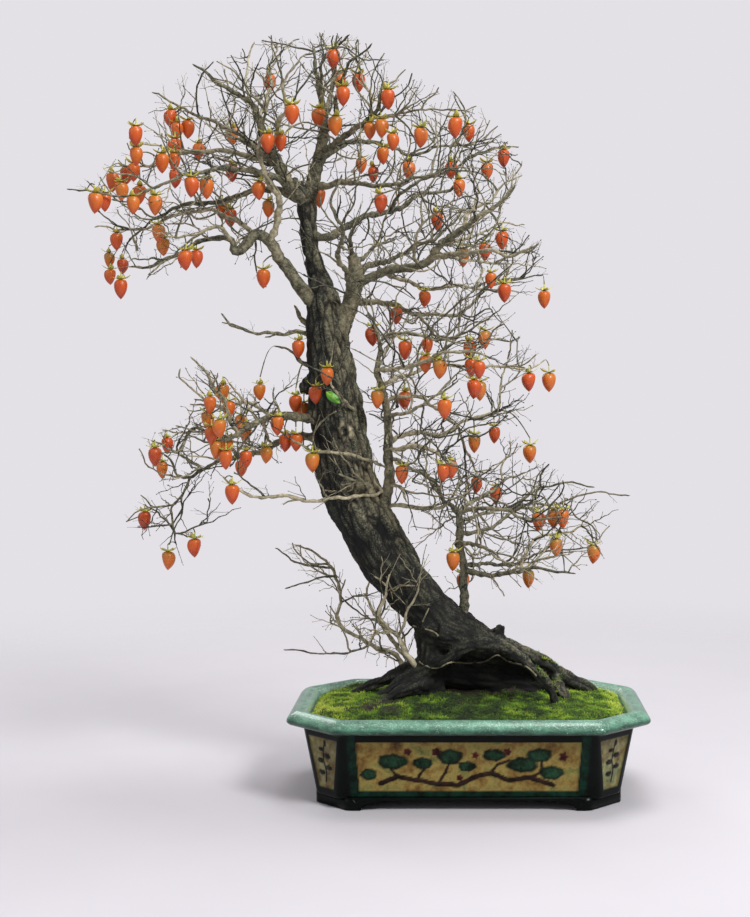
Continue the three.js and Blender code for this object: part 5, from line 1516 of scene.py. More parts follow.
BERRIES = forms_of("berry", [berry_form(number) for number in range(BERRY_FORMS)])

# %% [markdown]
# ## Calyxes
#
# Four narrow pointed sepals spread from the top of each berry and turn up at their ends,
# with a thin stalk between them. Each sepal is a closed blade with a keel along its middle.

# %% Forms of calyx
SEPAL_STEPS = 6
SEPAL_WIDTH = 3.8
CALYX_FORMS = 3


def calyx_form(number):
    """Four sepals and a stalk, from the berry's top at the origin."""
    shape = Shape()
    for quarter in range(4):
        turn = quarter * math.pi / 2 + chance(-0.12, 0.12)
        out = Vector((math.cos(turn), math.sin(turn), 0))
        aside = Vector((-out.y, out.x, 0))
        length = chance(9.5, 12.5) * MM
        curl = chance(2.0, 8.0) * MM
        points, tones = [], []
        for i in range(SEPAL_STEPS):
            share = i / (SEPAL_STEPS - 1)
            half = SEPAL_WIDTH * MM * (math.sin(math.pi * min(1, 0.22 + 0.78 * share)) ** 0.8) + 0.05 * MM
            middle = out * (1.2 * MM + length * share) + Vector((0, 0, curl * share ** 2 + 0.3 * MM))
            for width, lift in ((-half, 0.5 * MM), (0, 0.0), (half, 0.5 * MM), (0, 0.75 * MM)):
                points.append(middle + aside * width + Vector((0, 0, lift)))
                tones.append(share)
        faces = [[row * 4 + k, (row + 1) * 4 + k, (row + 1) * 4 + (k + 1) % 4, row * 4 + (k + 1) % 4]
                 for row in range(SEPAL_STEPS - 1) for k in range(4)]
        faces += [[0, 1, 2, 3], [(SEPAL_STEPS - 1) * 4 + k for k in (3, 2, 1, 0)]]
        shape.take(points, faces, tones)
    heights = [-0.6, 0.6, 3.0, 6.0, STALK_LENGTH]
    girths = [2.6, 2.0, 0.95, 0.75, 0.85]
    centres = [Vector((0, 0, height * MM)) for height in heights]
    shape.take(*tube(centres, [girth * MM for girth in girths], 8), 0.55)
    return shape.mesh(f"calyx_{number}")


CALYXES = forms_of("calyx", [calyx_form(number) for number in range(CALYX_FORMS)])

# %% Hanging the crop
fruit_places = []
for i, top in enumerate(FRUIT_TOPS):
    turn = Euler((0, 0, chance(0, 2 * math.pi)))
    size = 1.0 if i < len(FRUIT_NODES) else chance(0.86, 1.03)
    fruit_places.append((top, turn, size, i % BERRY_FORMS, chance()))
finished(copies_of("berries", BERRIES, fruit_places, BERRY_SKIN), FRUIT_NODES)
calyx_places = [(top, turn, size, form % CALYX_FORMS, shade) for top, turn, size, form, shade in fruit_places]
finished(copies_of("calyxes", CALYXES, calyx_places, SEPAL_GREEN), FRUIT_NODES)

# %% [markdown]
# ## The late leaf
#
# One green leaf is left in front of the trunk. It is a thin closed blade that folds a little
# along its rib, arches down and ends in a point.

# %% Late leaf
LEAF_STEPS = 16
LEAF_SIDES = 4
LEAF_HALF_WIDTH = 5.6


def late_leaf():
    """A folded, arched leaf blade where the frame has it."""
    low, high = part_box("leaf")
    root = Vector((low.x + 0.0008, (low.y + high.y) / 2, high.z - 0.002))
    tip = Vector((high.x - 0.0008, (low.y + high.y) / 2 - 0.001, low.z + 0.001))
    along = tip - root
    aside = along.cross(Vector((0, 1, 0))).normalized()
    shape = Shape()
    points, tones = [], []
    for thickness in (0.25 * MM, -0.25 * MM):
        for i in range(LEAF_STEPS + 1):
            share = i / LEAF_STEPS
            half = LEAF_HALF_WIDTH * MM * math.sin(math.pi * share ** 0.82) ** 0.9 + 0.1 * MM
            for k in range(-LEAF_SIDES, LEAF_SIDES + 1):
                across = k / LEAF_SIDES
                fold = 0.0026 * abs(across) * math.sin(math.pi * share) - 0.003 * math.sin(math.pi * share)
                ripple = 0.0004 * math.sin(9 * share + 4 * across)
                points.append(root + along * share + aside * (half * across)
                              + Vector((0, fold + ripple + thickness, 0)))
                tones.append(0.15 + 0.25 * abs(across))
    row = 2 * LEAF_SIDES + 1
    sheet = (LEAF_STEPS + 1) * row
    faces = []
    for i in range(LEAF_STEPS):
        for k in range(row - 1):
            quad = [i * row + k, i * row + k + 1, (i + 1) * row + k + 1, (i + 1) * row + k]
            faces += [quad, [sheet + corner for corner in reversed(quad)]]
    border = [(i * row, (i + 1) * row) for i in range(LEAF_STEPS)]
    border += [((i + 1) * row + row - 1, i * row + row - 1) for i in range(LEAF_STEPS)]
    border += [(k + 1, k) for k in range(row - 1)]
    border += [(LEAF_STEPS * row + k, LEAF_STEPS * row + k + 1) for k in range(row - 1)]
    faces += [[a, b, sheet + b, sheet + a] for a, b in border]
    shape.take(points, faces, tones)
    made = shape.mesh("late_leaf")
    tidy = bmesh.new()
    tidy.from_mesh(made)
    bmesh.ops.recalc_face_normals(tidy, faces=tidy.faces)
    tidy.to_mesh(made)
    tidy.free()
    made.materials.append(LEAF_GREEN)
    return put("late_leaf", made)


def leaf_material():
    """Fresh green with a pale rib."""
    made, tree, shader, place = material("leaf_green", 0.42, Subsurface_Weight=0.1, Subsurface_Scale=0.002)
    share = told(tree, "tone")
    veins = grain(tree, stretched(tree, place, 1, 1, 2.4), 240, 2)
    share = sums(tree, "ADD", share, sums(tree, "MULTIPLY", sums(tree, "SUBTRACT", veins, 0.5), 0.25), True)
    green = ramp(tree, share, [(0.1, colour(196, 214, 110)), (0.22, colour(96, 172, 44)), (0.5, colour(52, 132, 40))])
    tree.links.new(green, shader.inputs["Base Color"])
    bumped(tree, shader, veins, 0.4, 0.0004)
    return made


LEAF_GREEN = leaf_material()
finished(late_leaf(), ["leaf"])

# %% [markdown]
# ## The pot's outline
#
# The pot is an octagon: a rectangle with its corners cut off. Every level of it is the rim's
# outline set in by some millimetres, with softly rounded corners. The wall leans out as it
# rises, turns out under a broad lip, rolls over, and dips inside to where the moss begins.

# %% Octagons of the pot
RIM_HALF = (220, 142)
RIM_CUT = 61
CORNER = 5
ARC_STEPS = 4
SIDE_STEPS = (160, 44, 84, 44)
# Inset from the rim, height, and how much smaller the cut corner is, from the foot over the lip
WALL_PROFILE = [(38, 14, 12), (37, 15.5, 11.6), (36, 18, 11), (21, 88, 1), (20.2, 91, 0.4), (18, 93.4, 0)]
LIP_PROFILE = [
    (18, 93.4, 0), (12, 94.6, 0), (6, 95.7, 0), (2.4, 97.2, 0), (0.5, 99.4, 0), (0.4, 101.4, 0), (1.4, 104, 0),
    (4.6, 107.6, 0), (8.4, 110.2, 0), (12.4, 111.7, 0), (17, 112, 0), (20.5, 110.7, 0), (23, 107.6, 0),
    (25.3, 103.6, 0), (27, 99, 0.4), (29, 94, 1),
]
INNER_PROFILE = [(29, 94, 1), (38, 58, 6), (47, 23, 11), (46.5, 14.4, 11.6), (42, 14, 12)]
WALL_STEP = 1.7
# How much paler the lip turns: on its high edge as a painted highlight, on its inner slope as pale crackle
PALE_CRACKLE_AND_HIGHLIGHT = 0.16


def stepped(profile, step):
    """A profile with points added, so that none is further than a step from the next."""
    rows = []
    for a, b in zip(profile, profile[1:]):
        a, b = np.array(a, float), np.array(b, float)
        count = max(1, math.ceil(np.linalg.norm((b - a)[:2]) / step))
        rows += [tuple(a + (b - a) * i / count) for i in range(count)]
    return rows


def softened(profile, count):
    """A smooth curve through a profile, at even steps of its own count."""
    knots = np.array(profile, float)
    shares = np.linspace(0, len(knots) - 1, count)
    at = np.minimum(shares.astype(int), len(knots) - 2)
    t = (shares - at)[:, None]
    a, b, c, d = (knots[np.clip(at + k, 0, len(knots) - 1)] for k in (-1, 0, 1, 2))
    return (2 * b + (c - a) * t + (2 * a - 5 * b + 4 * c - d) * t ** 2 + (3 * b - a - 3 * c + d) * t ** 3) / 2


def octagon_columns():
    """Every column of the outline as (kind, side or corner, share along it)."""
    columns = []
    for side in range(8):
        steps = SIDE_STEPS[side % 4]
        columns += [("side", side, i / steps) for i in range(steps)]
        columns += [("corner", (side + 1) % 8, i / ARC_STEPS) for i in range(ARC_STEPS)]
    return columns


def octagon_corners(inset, cut_change):
    """The eight corners of the outline at an inset, anticlockwise from the front left."""
    x, y = RIM_HALF[0] - inset, RIM_HALF[1] - inset
    cut = RIM_CUT - inset * (2 - math.sqrt(2)) - cut_change
    return np.array([(cut - x, -y), (x - cut, -y), (x, cut - y), (x, y - cut),
                     (x - cut, y), (cut - x, y), (-x, y - cut), (-x, cut - y)])


def outline(inset, cut_change, columns):
    """The outline's points at an inset, one for each column, and how far along its side each is."""
    corners = octagon_corners(inset, cut_change)

    def near(corner, other):
        run = corners[other % 8] - corners[corner % 8]
        return corners[corner % 8] + run / np.linalg.norm(run) * CORNER

    points, along = [], []
    for kind, i, t in columns:
        if kind == "side":
            start, end = near(i, i + 1), near(i + 1, i)
            points.append(start + (end - start) * t)
            along.append((t - 0.5) * np.linalg.norm(end - start))
        else:
            points.append((1 - t) ** 2 * near(i, i - 1) + 2 * t * (1 - t) * corners[i] + t ** 2 * near(i, i + 1))
            along.append(999.0)
    return np.array(points), np.array(along)


COLUMNS = octagon_columns()
print(len(COLUMNS), "columns round the pot")

# %% [markdown]
# ## Panels and their picture
#
# Each wall has a sunk panel. The front and back ones hold a raised picture in the old manner
# of such pots, here a plain pine bough with round pads of needles and a few blossoms; the
# ends and the cut corners hold a simple sprig. A panel is worked out as numbers over the
# wall: how far in or out each point lies, and which paint it takes. The paint goes on the
# mesh as a colour attribute, since it follows the relief exactly.

# %% Picture on the panels
PANEL_DEPTH = 1.6
PANEL_FOOT = 24
PANEL_TOP = 84
PANEL_HALVES = {0: (129, 133), 1: (13, 26), 2: (56, 62), 3: (13, 26)}
BOUGH = [(-104, 33), (-84, 41), (-62, 37), (-36, 32), (-12, 31), (8, 41), (26, 46), (46, 37), (72, 40), (100, 31)]
SHOOTS = [[(-84, 41), (-92, 50), (-88, 58)], [(-36, 32), (-28, 46), (-22, 60)], [(26, 46), (34, 56), (48, 62)],
          [(72, 40), (88, 48), (86, 62)], [(-62, 37), (-56, 46), (-50, 54)]]
PADS = [(-90, 60, 17, 9), (-22, 66, 14, 9), (-54, 58, 11, 7), (64, 56, 17, 9), (98, 46, 14, 8), (84, 68, 14, 8),
        (-2, 54, 10, 6), (30, 68, 13, 7), (-118, 44, 9, 7)]
BLOSSOMS = [(-38, 72, 5.5), (46, 72, 4.5), (112, 66, 5.5), (-72, 72, 4.5), (8, 68, 4.5), (-10, 40, 4)]
SPRIG = [(0, 31), (2, 44), (-2, 58), (1, 76)]
SPRIG_LEAVES = [(-6, 42, 6, 3.4), (7, 49, 6, 3.4), (-7, 56, 6, 3.4), (6, 63, 6, 3.4), (-5, 70, 5, 3), (3, 78, 3, 4)]
OCHRE = colour(138, 122, 66)
PALE_OCHRE = colour(132, 142, 112)
DARK_WALL = colour(2, 9, 7)
GREEN_WALL = colour(14, 50, 36)
BOUGH_BROWN = colour(50, 30, 24)
PAD_GREEN = colour(44, 86, 58)
PAD_DARK = colour(12, 30, 22)
BLOSSOM_RED = colour(84, 26, 30)


def to_line(u, v, line):
    """How far points (u, v) lie from a drawn line."""
    best = np.full(u.shape, np.inf)
    for (ax, ay), (bx, by) in zip(line, line[1:]):
        run = np.array((bx - ax, by - ay), float)
        share = np.clip(((u - ax) * run[0] + (v - ay) * run[1]) / run.dot(run), 0, 1)
        best = np.minimum(best, np.hypot(u - ax - run[0] * share, v - ay - run[1] * share))
    return best


def brushed(paint, mask, tone):
    """Lays a paint over others where a mask says so."""
    paint += (np.array(tone) - paint) * mask[:, None]


def pine(u, v, paint, rise):
    """The bough, its shoots, pads of needles and blossoms, as paint and relief."""
    for line, half, high in [(BOUGH, 3.0, 1.3)] + [(shoot, 1.6, 0.9) for shoot in SHOOTS]:
        gap = to_line(u, v, line) + 0.5 * np.sin(u / 3.1) * np.sin(v / 2.3)
        brushed(paint, eased((half + 0.7 - gap) / 1.2), BOUGH_BROWN)
        rise[:] = np.maximum(rise, high * eased((half - gap) / half))
    for x, y, wide, tall in PADS:
        ring = np.hypot((u - x) / wide, (v - y) / tall)
        turn = np.arctan2(v - y, u - x)
        ragged = ring * (1 + 0.06 * np.sin(5 * turn + x) + 0.03 * np.sin(11 * turn))
        brushed(paint, eased((1.2 - ragged) / 0.3), PAD_DARK)
        needles = 0.5 + 0.5 * np.sin(1.9 * (u + 0.35 * v)) * np.sin(1.3 * (v - 0.2 * u))
        brushed(paint, eased((1.0 - ragged) / 0.45) * (0.25 + 0.75 * needles), PAD_GREEN)
        rise[:] = np.maximum(rise, (1.1 + 0.3 * needles) * eased((1.05 - ragged) / 0.5))
    for x, y, size in BLOSSOMS:
        turn = np.arctan2(v - y, u - x)
        petals = np.hypot(u - x, v - y) / size * (1 - 0.16 * np.cos(5 * turn))
        brushed(paint, eased((1.05 - petals) / 0.2), BLOSSOM_RED)
        brushed(paint, eased((0.28 - petals) / 0.15), PAD_DARK)
        rise[:] = np.maximum(rise, 1.2 * eased((1.0 - petals) / 0.5) * (0.75 + 0.25 * np.cos(5 * turn)))


def sprig(u, v, scale, paint, rise):
    """An upright stem with alternate leaves, as paint and relief."""
    for offset in (0,) if scale < 2 else (-26, 0, 26):
        gap = to_line(u - offset, v, SPRIG)
        brushed(paint, eased((1.7 - gap) / 0.9), BOUGH_BROWN)
        rise[:] = np.maximum(rise, 0.8 * eased((1.4 - gap) / 1.4))
        for x, y, wide, tall in SPRIG_LEAVES:
            ring = np.hypot((u - offset - x) / wide, (v - y) / tall)
            brushed(paint, eased((1.1 - ring) / 0.25), PAD_DARK)
            brushed(paint, eased((0.7 - ring) / 0.3), BOUGH_BROWN)
            rise[:] = np.maximum(rise, 0.9 * eased((1.05 - ring) / 0.6))


def worked_wall(side, u, v):
    """Relief in millimetres, paint and panel share of points on one wall."""
    foot, top = PANEL_HALVES[side % 4]
    half = foot + (top - foot) * (v - PANEL_FOOT) / (PANEL_TOP - PANEL_FOOT)
    within = np.minimum(np.minimum(half - np.abs(u), v - PANEL_FOOT), PANEL_TOP - v)
    inside = eased(within / 1.4 + 0.5)
    broad = side % 4 == 0
    paint = np.tile(np.array(DARK_WALL), (len(u), 1))
    if broad:
        below = eased((v - 13) / 2) * eased((PANEL_FOOT + 1 - v) / 2) * eased((half + 4 - np.abs(u)) / 3)
        beside = eased((np.abs(u) - half) / 2) * eased((half + 13 - np.abs(u)) / 5)
        brushed(paint, below, GREEN_WALL)
        brushed(paint, beside, GREEN_WALL)
    else:
        brushed(paint, 0.45 * eased((3 - np.abs(within)) / 3), GREEN_WALL)
    brushed(paint, inside, OCHRE if broad else PALE_OCHRE)
    rise = np.zeros(len(u))
    ground = paint.copy()
    if broad:
        pine(u, v, paint, rise)
    else:
        sprig(u, v, half.mean() / 20, paint, rise)
    picture = np.clip(np.abs(paint - ground).sum(axis=1) * 6, 0, 1)
    worn = np.array([noise.noise(Vector((x / 9, z / 7, side))) for x, z in zip(u, v)])
    brushed(paint, inside * 0.85 * eased((6 + 7 * worn - within) / 6), GREEN_WALL)
    brushed(paint, inside * 0.55 * eased((1.6 - within) / 1.6), DARK_WALL)
    depth = PANEL_DEPTH if side % 2 == 0 else 1.0
    return inside * (np.minimum(rise, depth) - depth), paint, inside * (1 - picture) * (1 if broad else 0.6)


print(len(PADS), "pads of needles and", len(BLOSSOMS), "blossoms on each long panel")

# %% [markdown]
# ## Glaze
#
# The lip has a thick turquoise glaze that pools blue-green and breaks to pale, speckled
# crackle where it runs thin on its inner slope. Its outer face is darkened towards the lower
# edge with painted shade, and its top edge is paler with a painted highlight and painted
# glints among the specks. The wall is near black, with dark green bands by the panels, and
# the panels are a stained ochre. All of it is glossy, and a little uneven to the touch.

# %% Glaze material
def glaze_material():
    """Painted walls and a mottled turquoise lip under one clear gloss."""
    made, tree, shader, place = material("glaze", 0.3, Coat_Roughness=0.1)
    paint = told(tree, "paint", "Color")
    lip = told(tree, "lip")
    panel = told(tree, "panel")
    mottle = grain(tree, stretched(tree, place, 1, 1, 2.2), 52, 6, 0.75)
    runs = ramp(tree, mottle, [
        (0.32, colour(14, 62, 46)), (0.46, colour(46, 110, 84)), (0.6, colour(88, 152, 122)),
        (0.78, colour(150, 200, 172))])
    # Painted shade: the outer lip darkens towards its lower edge, by the share that the mesh tells
    lip_shading = told(tree, "lip_shading")
    runs = blended(tree, 1.0, runs, add(tree, "ShaderNodeCombineColor", {0: lip_shading, 1: lip_shading, 2: lip_shading}).outputs[0],
                   "MULTIPLY")
    # Paler where the glaze is thin: pale crackle on the inner slope, and a painted highlight along the top edge
    thin = told(tree, "thin")
    crackle = sums(tree, "MULTIPLY", thin, sums(tree, "ADD", grain(tree, place, 300, 3, 0.8), 0.1))
    runs = blended(tree, sums(tree, "MULTIPLY", thin, 1.3), runs, colour(168, 200, 178))
    # Pale specks over the lip, more where it is thin: crackle in the glaze, and painted glints of light
    speckle = sums(tree, "GREATER_THAN", grain(tree, place, 640, 2, 0.7), sums(tree, "SUBTRACT", 0.69, crackle))
    runs = blended(tree, sums(tree, "MULTIPLY", speckle, 0.6), runs, colour(206, 228, 214))
    stain = ramp(tree, grain(tree, place, 34, 6, 0.72), [
        (0.3, colour(64, 44, 28)), (0.42, colour(128, 96, 48)), (0.53, colour(158, 140, 78)),
        (0.62, colour(112, 116, 62)), (0.72, colour(46, 68, 44))])
    uneven = ramp(tree, grain(tree, place, 70, 4, 0.7), [(0.36, colour(96, 100, 90)), (0.62, colour(246, 246, 246))])
    stained = blended(tree, sums(tree, "MULTIPLY", panel, 0.7), blended(tree, 1.0, paint, uneven, "MULTIPLY"), stain)
    glossy = sums(tree, "ADD", sums(tree, "MULTIPLY", lip, 0.3), 0.08)
    for finish in ("Coat Weight", "Specular IOR Level"):
        tree.links.new(glossy, shader.inputs[finish])
    tree.links.new(blended(tree, lip, stained, runs), shader.inputs["Base Color"])
    bumped(tree, shader, sums(tree, "ADD", mottle, grain(tree, place, 300, 2)), 0.16, 0.0009)
    return made


GLAZE = glaze_material()

# %% [markdown]
# ## The pot
#
# The wall and lip are one closed skin of rows and columns, fine enough to carry the relief.
# The foot ring is cut by Booleans: two arched tunnels leave a foot under each cut corner. The
# floor is a slab with two drilled drain holes. Joined in one object they are the pot.

# %% Wall and lip
def pot_skin():
    """The wall and lip, with the panels' relief and paint."""
    wall = stepped(WALL_PROFILE, WALL_STEP)
    lip = [tuple(row) for row in softened(LIP_PROFILE, 34)]
    inner = stepped(INNER_PROFILE, 9)
    profile = np.array(wall + lip + inner[1:] + [INNER_PROFILE[-1]])
    count = len(COLUMNS)
    points, alongs = [], []
    for inset, height, cut_change in profile:
        ring, along = outline(inset, cut_change, COLUMNS)
        points.append(np.column_stack([ring, np.full(count, height)]))
        alongs.append(along)
    points = np.concatenate(points)
    rows = len(profile)
    faces = [[row * count + k, row * count + (k + 1) % count,
              (row + 1) % rows * count + (k + 1) % count, (row + 1) % rows * count + k]
             for row in range(rows) for k in range(count)]
    made = bpy.data.meshes.new("pot_skin")
    made.from_pydata((points * MM + np.array(POT)).tolist(), [], faces)
    made.update()
    facing = np.empty(3 * len(points), np.float32)
    made.vertex_normals.foreach_get("vector", facing)
    facing = facing.reshape(-1, 3)

    push = np.zeros(len(points))
    paint = np.tile(np.array(DARK_WALL), (len(points), 1))
    panel = np.zeros(len(points))
    walls = np.repeat([(i < len(wall)) for i in range(rows)], count)
    sides = np.tile([i if kind == "side" else -1 for kind, i, _ in COLUMNS], rows)
    along = np.concatenate(alongs)
    for side in range(8):
        here = np.where(walls & (sides == side))[0]
        push[here], paint[here], panel[here] = worked_wall(side, along[here], points[here, 2])
    heights = points[:, 2]
    rim = np.repeat([len(wall) - 1 <= i < len(wall) + len(lip) for i in range(rows)], count)
    lip_share = np.where(rim, eased((heights - 95.4) / 2.2), 0)
    places = places_of(made) + facing * (push * MM)[:, None]
    made.vertices.foreach_set("co", places.ravel())
    tell(made, "paint", paint, "FLOAT_COLOR")
    tell(made, "lip", lip_share)
    insets = np.repeat(profile[:, 0], count)
    # Paling on the lip: a painted highlight towards its top, and pale crackle on its inner slope
    tell(made, "thin", lip_share * (eased((heights - 100) / 8) + eased((insets - 18) / 5)) * PALE_CRACKLE_AND_HIGHLIGHT)
    # Painted shade: the outer lip's colour is multiplied down towards its lower edge
    tell(made, "lip_shading", np.where(insets > 12, 1, 0.22 + 0.78 * eased((heights - 97) / 12)))
    tell(made, "panel", panel)
    made.shade_smooth()
    return made


# %% Foot ring, floor and drain holes
FOOT_RING = (35, 50)
FOOT_TOP = 16
TUNNELS = ((128, 0), (52, math.pi / 2))
FLOOR_SLAB = (14.3, 22.7)
DRAINS = (-75, 75)
DRAIN_RADIUS = 9


def prism(name, inset, low, high, cut_change=0.0):
    """A block with the pot's octagon as its outline."""
    ring, _ = outline(inset, cut_change, [column for column in COLUMNS if column[0] == "corner" or column[2] == 0])
    count = len(ring)
    shape = Shape()
    points = [POT + Vector((x, y, height)) * MM for height in (low, high) for x, y in ring]
    faces = [[k, (k + 1) % count, count + (k + 1) % count, count + k] for k in range(count)]
    faces += [list(range(count))[::-1], list(range(count, 2 * count))]
    shape.take(points, faces)
    return put(name, shape.mesh(name))


def tunnel(half, turn):
    """The arched opening between two feet, drawn upright and run through the pot."""
    arch = [(-half, -1), (-half, 1)]
    arch += [(-half + 14 - 14 * math.cos(a), 1 + 7 * math.sin(a)) for a in np.linspace(0.15, math.pi / 2, 8)]
    arch += [(-half + 20, 8.6), (-half + 23, 10.2), (-half + 26, 12)]
    arch += [(-x, z) for x, z in reversed(arch)]
    shape = Shape()
    count = len(arch)
    turned = Euler((0, 0, turn)).to_matrix()
    points = [POT + turned @ (Vector((x, y, z)) * MM) for y in (-250, 250) for x, z in arch]
    faces = [[k, count + k, count + (k + 1) % count, (k + 1) % count] for k in range(count)]
    faces += [list(range(count)), list(range(count, 2 * count))[::-1]]
    shape.take(points, faces)
    made = shape.mesh("tunnel")
    tidy = bmesh.new()
    tidy.from_mesh(made)
    bmesh.ops.recalc_face_normals(tidy, faces=tidy.faces)
    tidy.to_mesh(made)
    tidy.free()
    return put("tunnel", made)


def cut_out(body, *tools):
    """A body with other solids cut out of it, as a plain mesh."""
    for tool in tools:
        cut = body.modifiers.new("cut", "BOOLEAN")
        cut.operation = "DIFFERENCE"
        cut.solver = "MANIFOLD"
        cut.object = tool
    made = plain(body)
    for tool in tools:
        bpy.data.objects.remove(tool)
    return made


def drain(x):
    """A drill for a drain hole."""
    shape = Shape()
    centres = [POT + Vector((x, 0, height)) * MM for height in (5, 35)]
    shape.take(*tube(centres, [DRAIN_RADIUS * MM] * 2, 48))
    return put("drain", shape.mesh("drain"))


ring = cut_out(prism("ring", FOOT_RING[0], 0, FOOT_TOP), prism("core", FOOT_RING[1], -1, FOOT_TOP + 1),
               *[tunnel(half, turn) for half, turn in TUNNELS])
slab = cut_out(prism("slab", 40, *FLOOR_SLAB, 12), *[drain(x) for x in DRAINS])
skin = pot_skin()
for part in (ring, slab):
    tell(part, "paint", [DARK_WALL] * len(part.vertices), "FLOAT_COLOR")
    tell(part, "lip", [0.0] * len(part.vertices))
    tell(part, "panel", [0.0] * len(part.vertices))
    tell(part, "thin", [0.0] * len(part.vertices))
    tell(part, "lip_shading", [1.0] * len(part.vertices))


def joined(name, meshes):
    """Several meshes in one object."""
    things = [put(name, mesh) for mesh in meshes]
    with bpy.context.temp_override(active_object=things[0], object=things[0], selected_objects=things,
                                   selected_editable_objects=things):
        bpy.ops.object.join()
    things[0].name = name
    return things[0]


for part in (skin, ring, slab):
    part.materials.clear()
    part.materials.append(GLAZE)
finished(joined("glazed_pot", [skin, ring, slab]), ["pot"])

# %% [markdown]
# ## Drain screens
#
# A square of plastic net lies over each drain hole to keep the soil in. It is a lattice of
# flat bars, woven here from two rows of closed strips.

# %% Nets over the drain holes
NET_BARS = 9
NET_BAR = 1.1


def net_material():
    """Matt dark moulded net."""
    made, tree, shader, place = material("net", 0.62)
    tone = ramp(tree, grain(tree, place, 400), [(0.35, colour(28, 31, 36)), (0.65, colour(46, 50, 56))])
    tree.links.new(tone, shader.inputs["Base Color"])
    bumped(tree, shader, grain(tree, place, 900), 0.3, 0.0003)
    return made


NET = net_material()
for node in ("drain_screen_left", "drain_screen_right"):
    low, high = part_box(node)
    middle = (low + high) / 2
    half = (high.x - low.x) / 2 - NET_BAR / 2 * MM
    shape = Shape()
    for i in range(NET_BARS):
        offset = half * (2 * i / (NET_BARS - 1) - 1)
        for along, across, lift in ((Vector((1, 0, 0)), Vector((0, 1, 0)), -0.1), (Vector((0, 1, 0)), Vector((1, 0, 0)), 0.1)):
            centre = middle + across * offset + Vector((0, 0, lift * MM))
            ends = [centre - along * (half + NET_BAR / 2 * MM), centre + along * (half + NET_BAR / 2 * MM)]
            shape.take(*tube(ends, [NET_BAR * 0.5 * MM] * 2, 8))
    net = put(node.replace("screen", "net"), shape.mesh(node))
    net.data.materials.append(NET)
    finished(net, [node])

# %% [markdown]
# ## Soil
#
# The soil fills the pot under the moss, so the frame's own solid stays. It only needs its
# finish: damp dark grit, with a few paler grains.

# %% Soil material
def soil_material():
    """Damp dark grit."""
    made, tree, shader, place = material("damp_soil", 0.95)
    grit = add(tree, "ShaderNodeTexVoronoi", {"Vector": place, "Scale": 420.0})
    tone = ramp(tree, grit.outputs["Distance"], [
        (0.1, colour(92, 76, 56)), (0.35, colour(56, 43, 31)), (0.8, colour(22, 16, 12))])
    pale = sums(tree, "GREATER_THAN", grain(tree, place, 260, 1), 0.66)
    tree.links.new(blended(tree, sums(tree, "MULTIPLY", pale, 0.4), tone, colour(128, 116, 96)),
                   shader.inputs["Base Color"])
    bumped(tree, shader, grit.outputs["Distance"], 0.7, 0.001)
    return made


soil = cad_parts["soil"]
soil.data.materials.clear()
soil.data.materials.append(soil_material())
print("the soil keeps its shape")

# %% [markdown]
# ## Moss carpet
#
# The moss lies in cushions of uneven height over the whole bed, tucked down at the pot's
# inner lip. The carpet is a closed skin of rings. Its top is the ground that the tufts grow
# on, so each point tells how thick they stand: not where a root rises, and thin on a few
# dark bare patches, of which those in the cave of the roots are painted shade.

# %% Carpet
BED_INSET = 30
SOIL_EDGE = 101
SOIL_CROWN = 112
MOSS_THICKNESS = 6.2
CARPET_RINGS = 56
CARPET_STEP = 5.4
# Bare patches: x, y and radius in millimetres from the pot's middle. The four from (-20, 12)
# to (90, 40) lie in the cave of the roots, where the dark bare mat is painted shade
BARE_AND_SHADED_PATCHES = [(-112, -34, 30), (-84, -36, 16), (-1, -54, 16), (60, -84, 7), (-118, -66, 22), (-92, -80, 13), (122, -50, 8), (-20, 12, 34),
                (14, 20, 44), (56, 26, 44), (90, 40, 30), (-90, -8, 16)]


def soil_height(share):
    """The bed is level at its edge and gently domed towards the trunk."""
    return SOIL_CROWN + (SOIL_EDGE - SOIL_CROWN) * share * share


def cushion(x, y):
    """How far the moss rises above or falls below its usual thickness at a place."""
    broad = noise.noise(Vector((x / 26, y / 26, 0.3)))
    small = noise.noise(Vector((x / 10, y / 10, 5.1)))
    return 5.5 * broad + 2.6 * abs(small)


def carpet():
    """A closed skin over the bed, with the thickness of its growth told at each point."""
    ring_columns = []
    for side in range(8):
        steps = round(SIDE_STEPS[side % 4] * WALL_STEP / CARPET_STEP * 1.6)
        ring_columns += [("side", side, i / steps) for i in range(steps)]
        ring_columns += [("corner", (side + 1) % 8, i / 2) for i in range(2)]
    edge, _ = outline(BED_INSET, 0, ring_columns)
    count = len(edge)
    shape = Shape()
    points = [Vector((x, y, soil_height(1) - 1)) for x, y in edge]
    for i in range(CARPET_RINGS):
        share = 1 - i / CARPET_RINGS
        tuck = eased(np.array(i / 5))
        for x, y in edge * share:
            rise = (MOSS_THICKNESS * (0.35 + 0.65 * tuck) + cushion(x, y) * tuck)
            points.append(Vector((x, y, soil_height(share) + max(1.5, rise))))
    rows = CARPET_RINGS + 1
    faces = [[row * count + k, row * count + (k + 1) % count,
              (row + 1) * count + (k + 1) % count, (row + 1) * count + k]
             for row in range(rows - 1) for k in range(count)]
    faces += [[(rows - 1) * count + k for k in range(count)], list(range(count))[::-1]]
    shape.take([POT + point * MM for point in points], faces)
    made = shape.mesh("moss_carpet")

    places = places_of(made).astype(float)
    near_wood = np.full(len(places), np.inf)
    for centres, radii in OLD_PATHS:
        near_wood = np.minimum(near_wood, straightened(centres, radii, places)[0])
    growth = eased((near_wood / MM + 1.0) / 3.0)
    flat = (places[:, :2] - np.array(POT)[:2]) / MM
    for x, y, radius in BARE_AND_SHADED_PATCHES:
        growth *= 1 - np.exp(-(np.hypot(flat[:, 0] - x, (flat[:, 1] - y) * 1.5) / radius) ** 2)
    tell(made, "growth", growth)
    return made


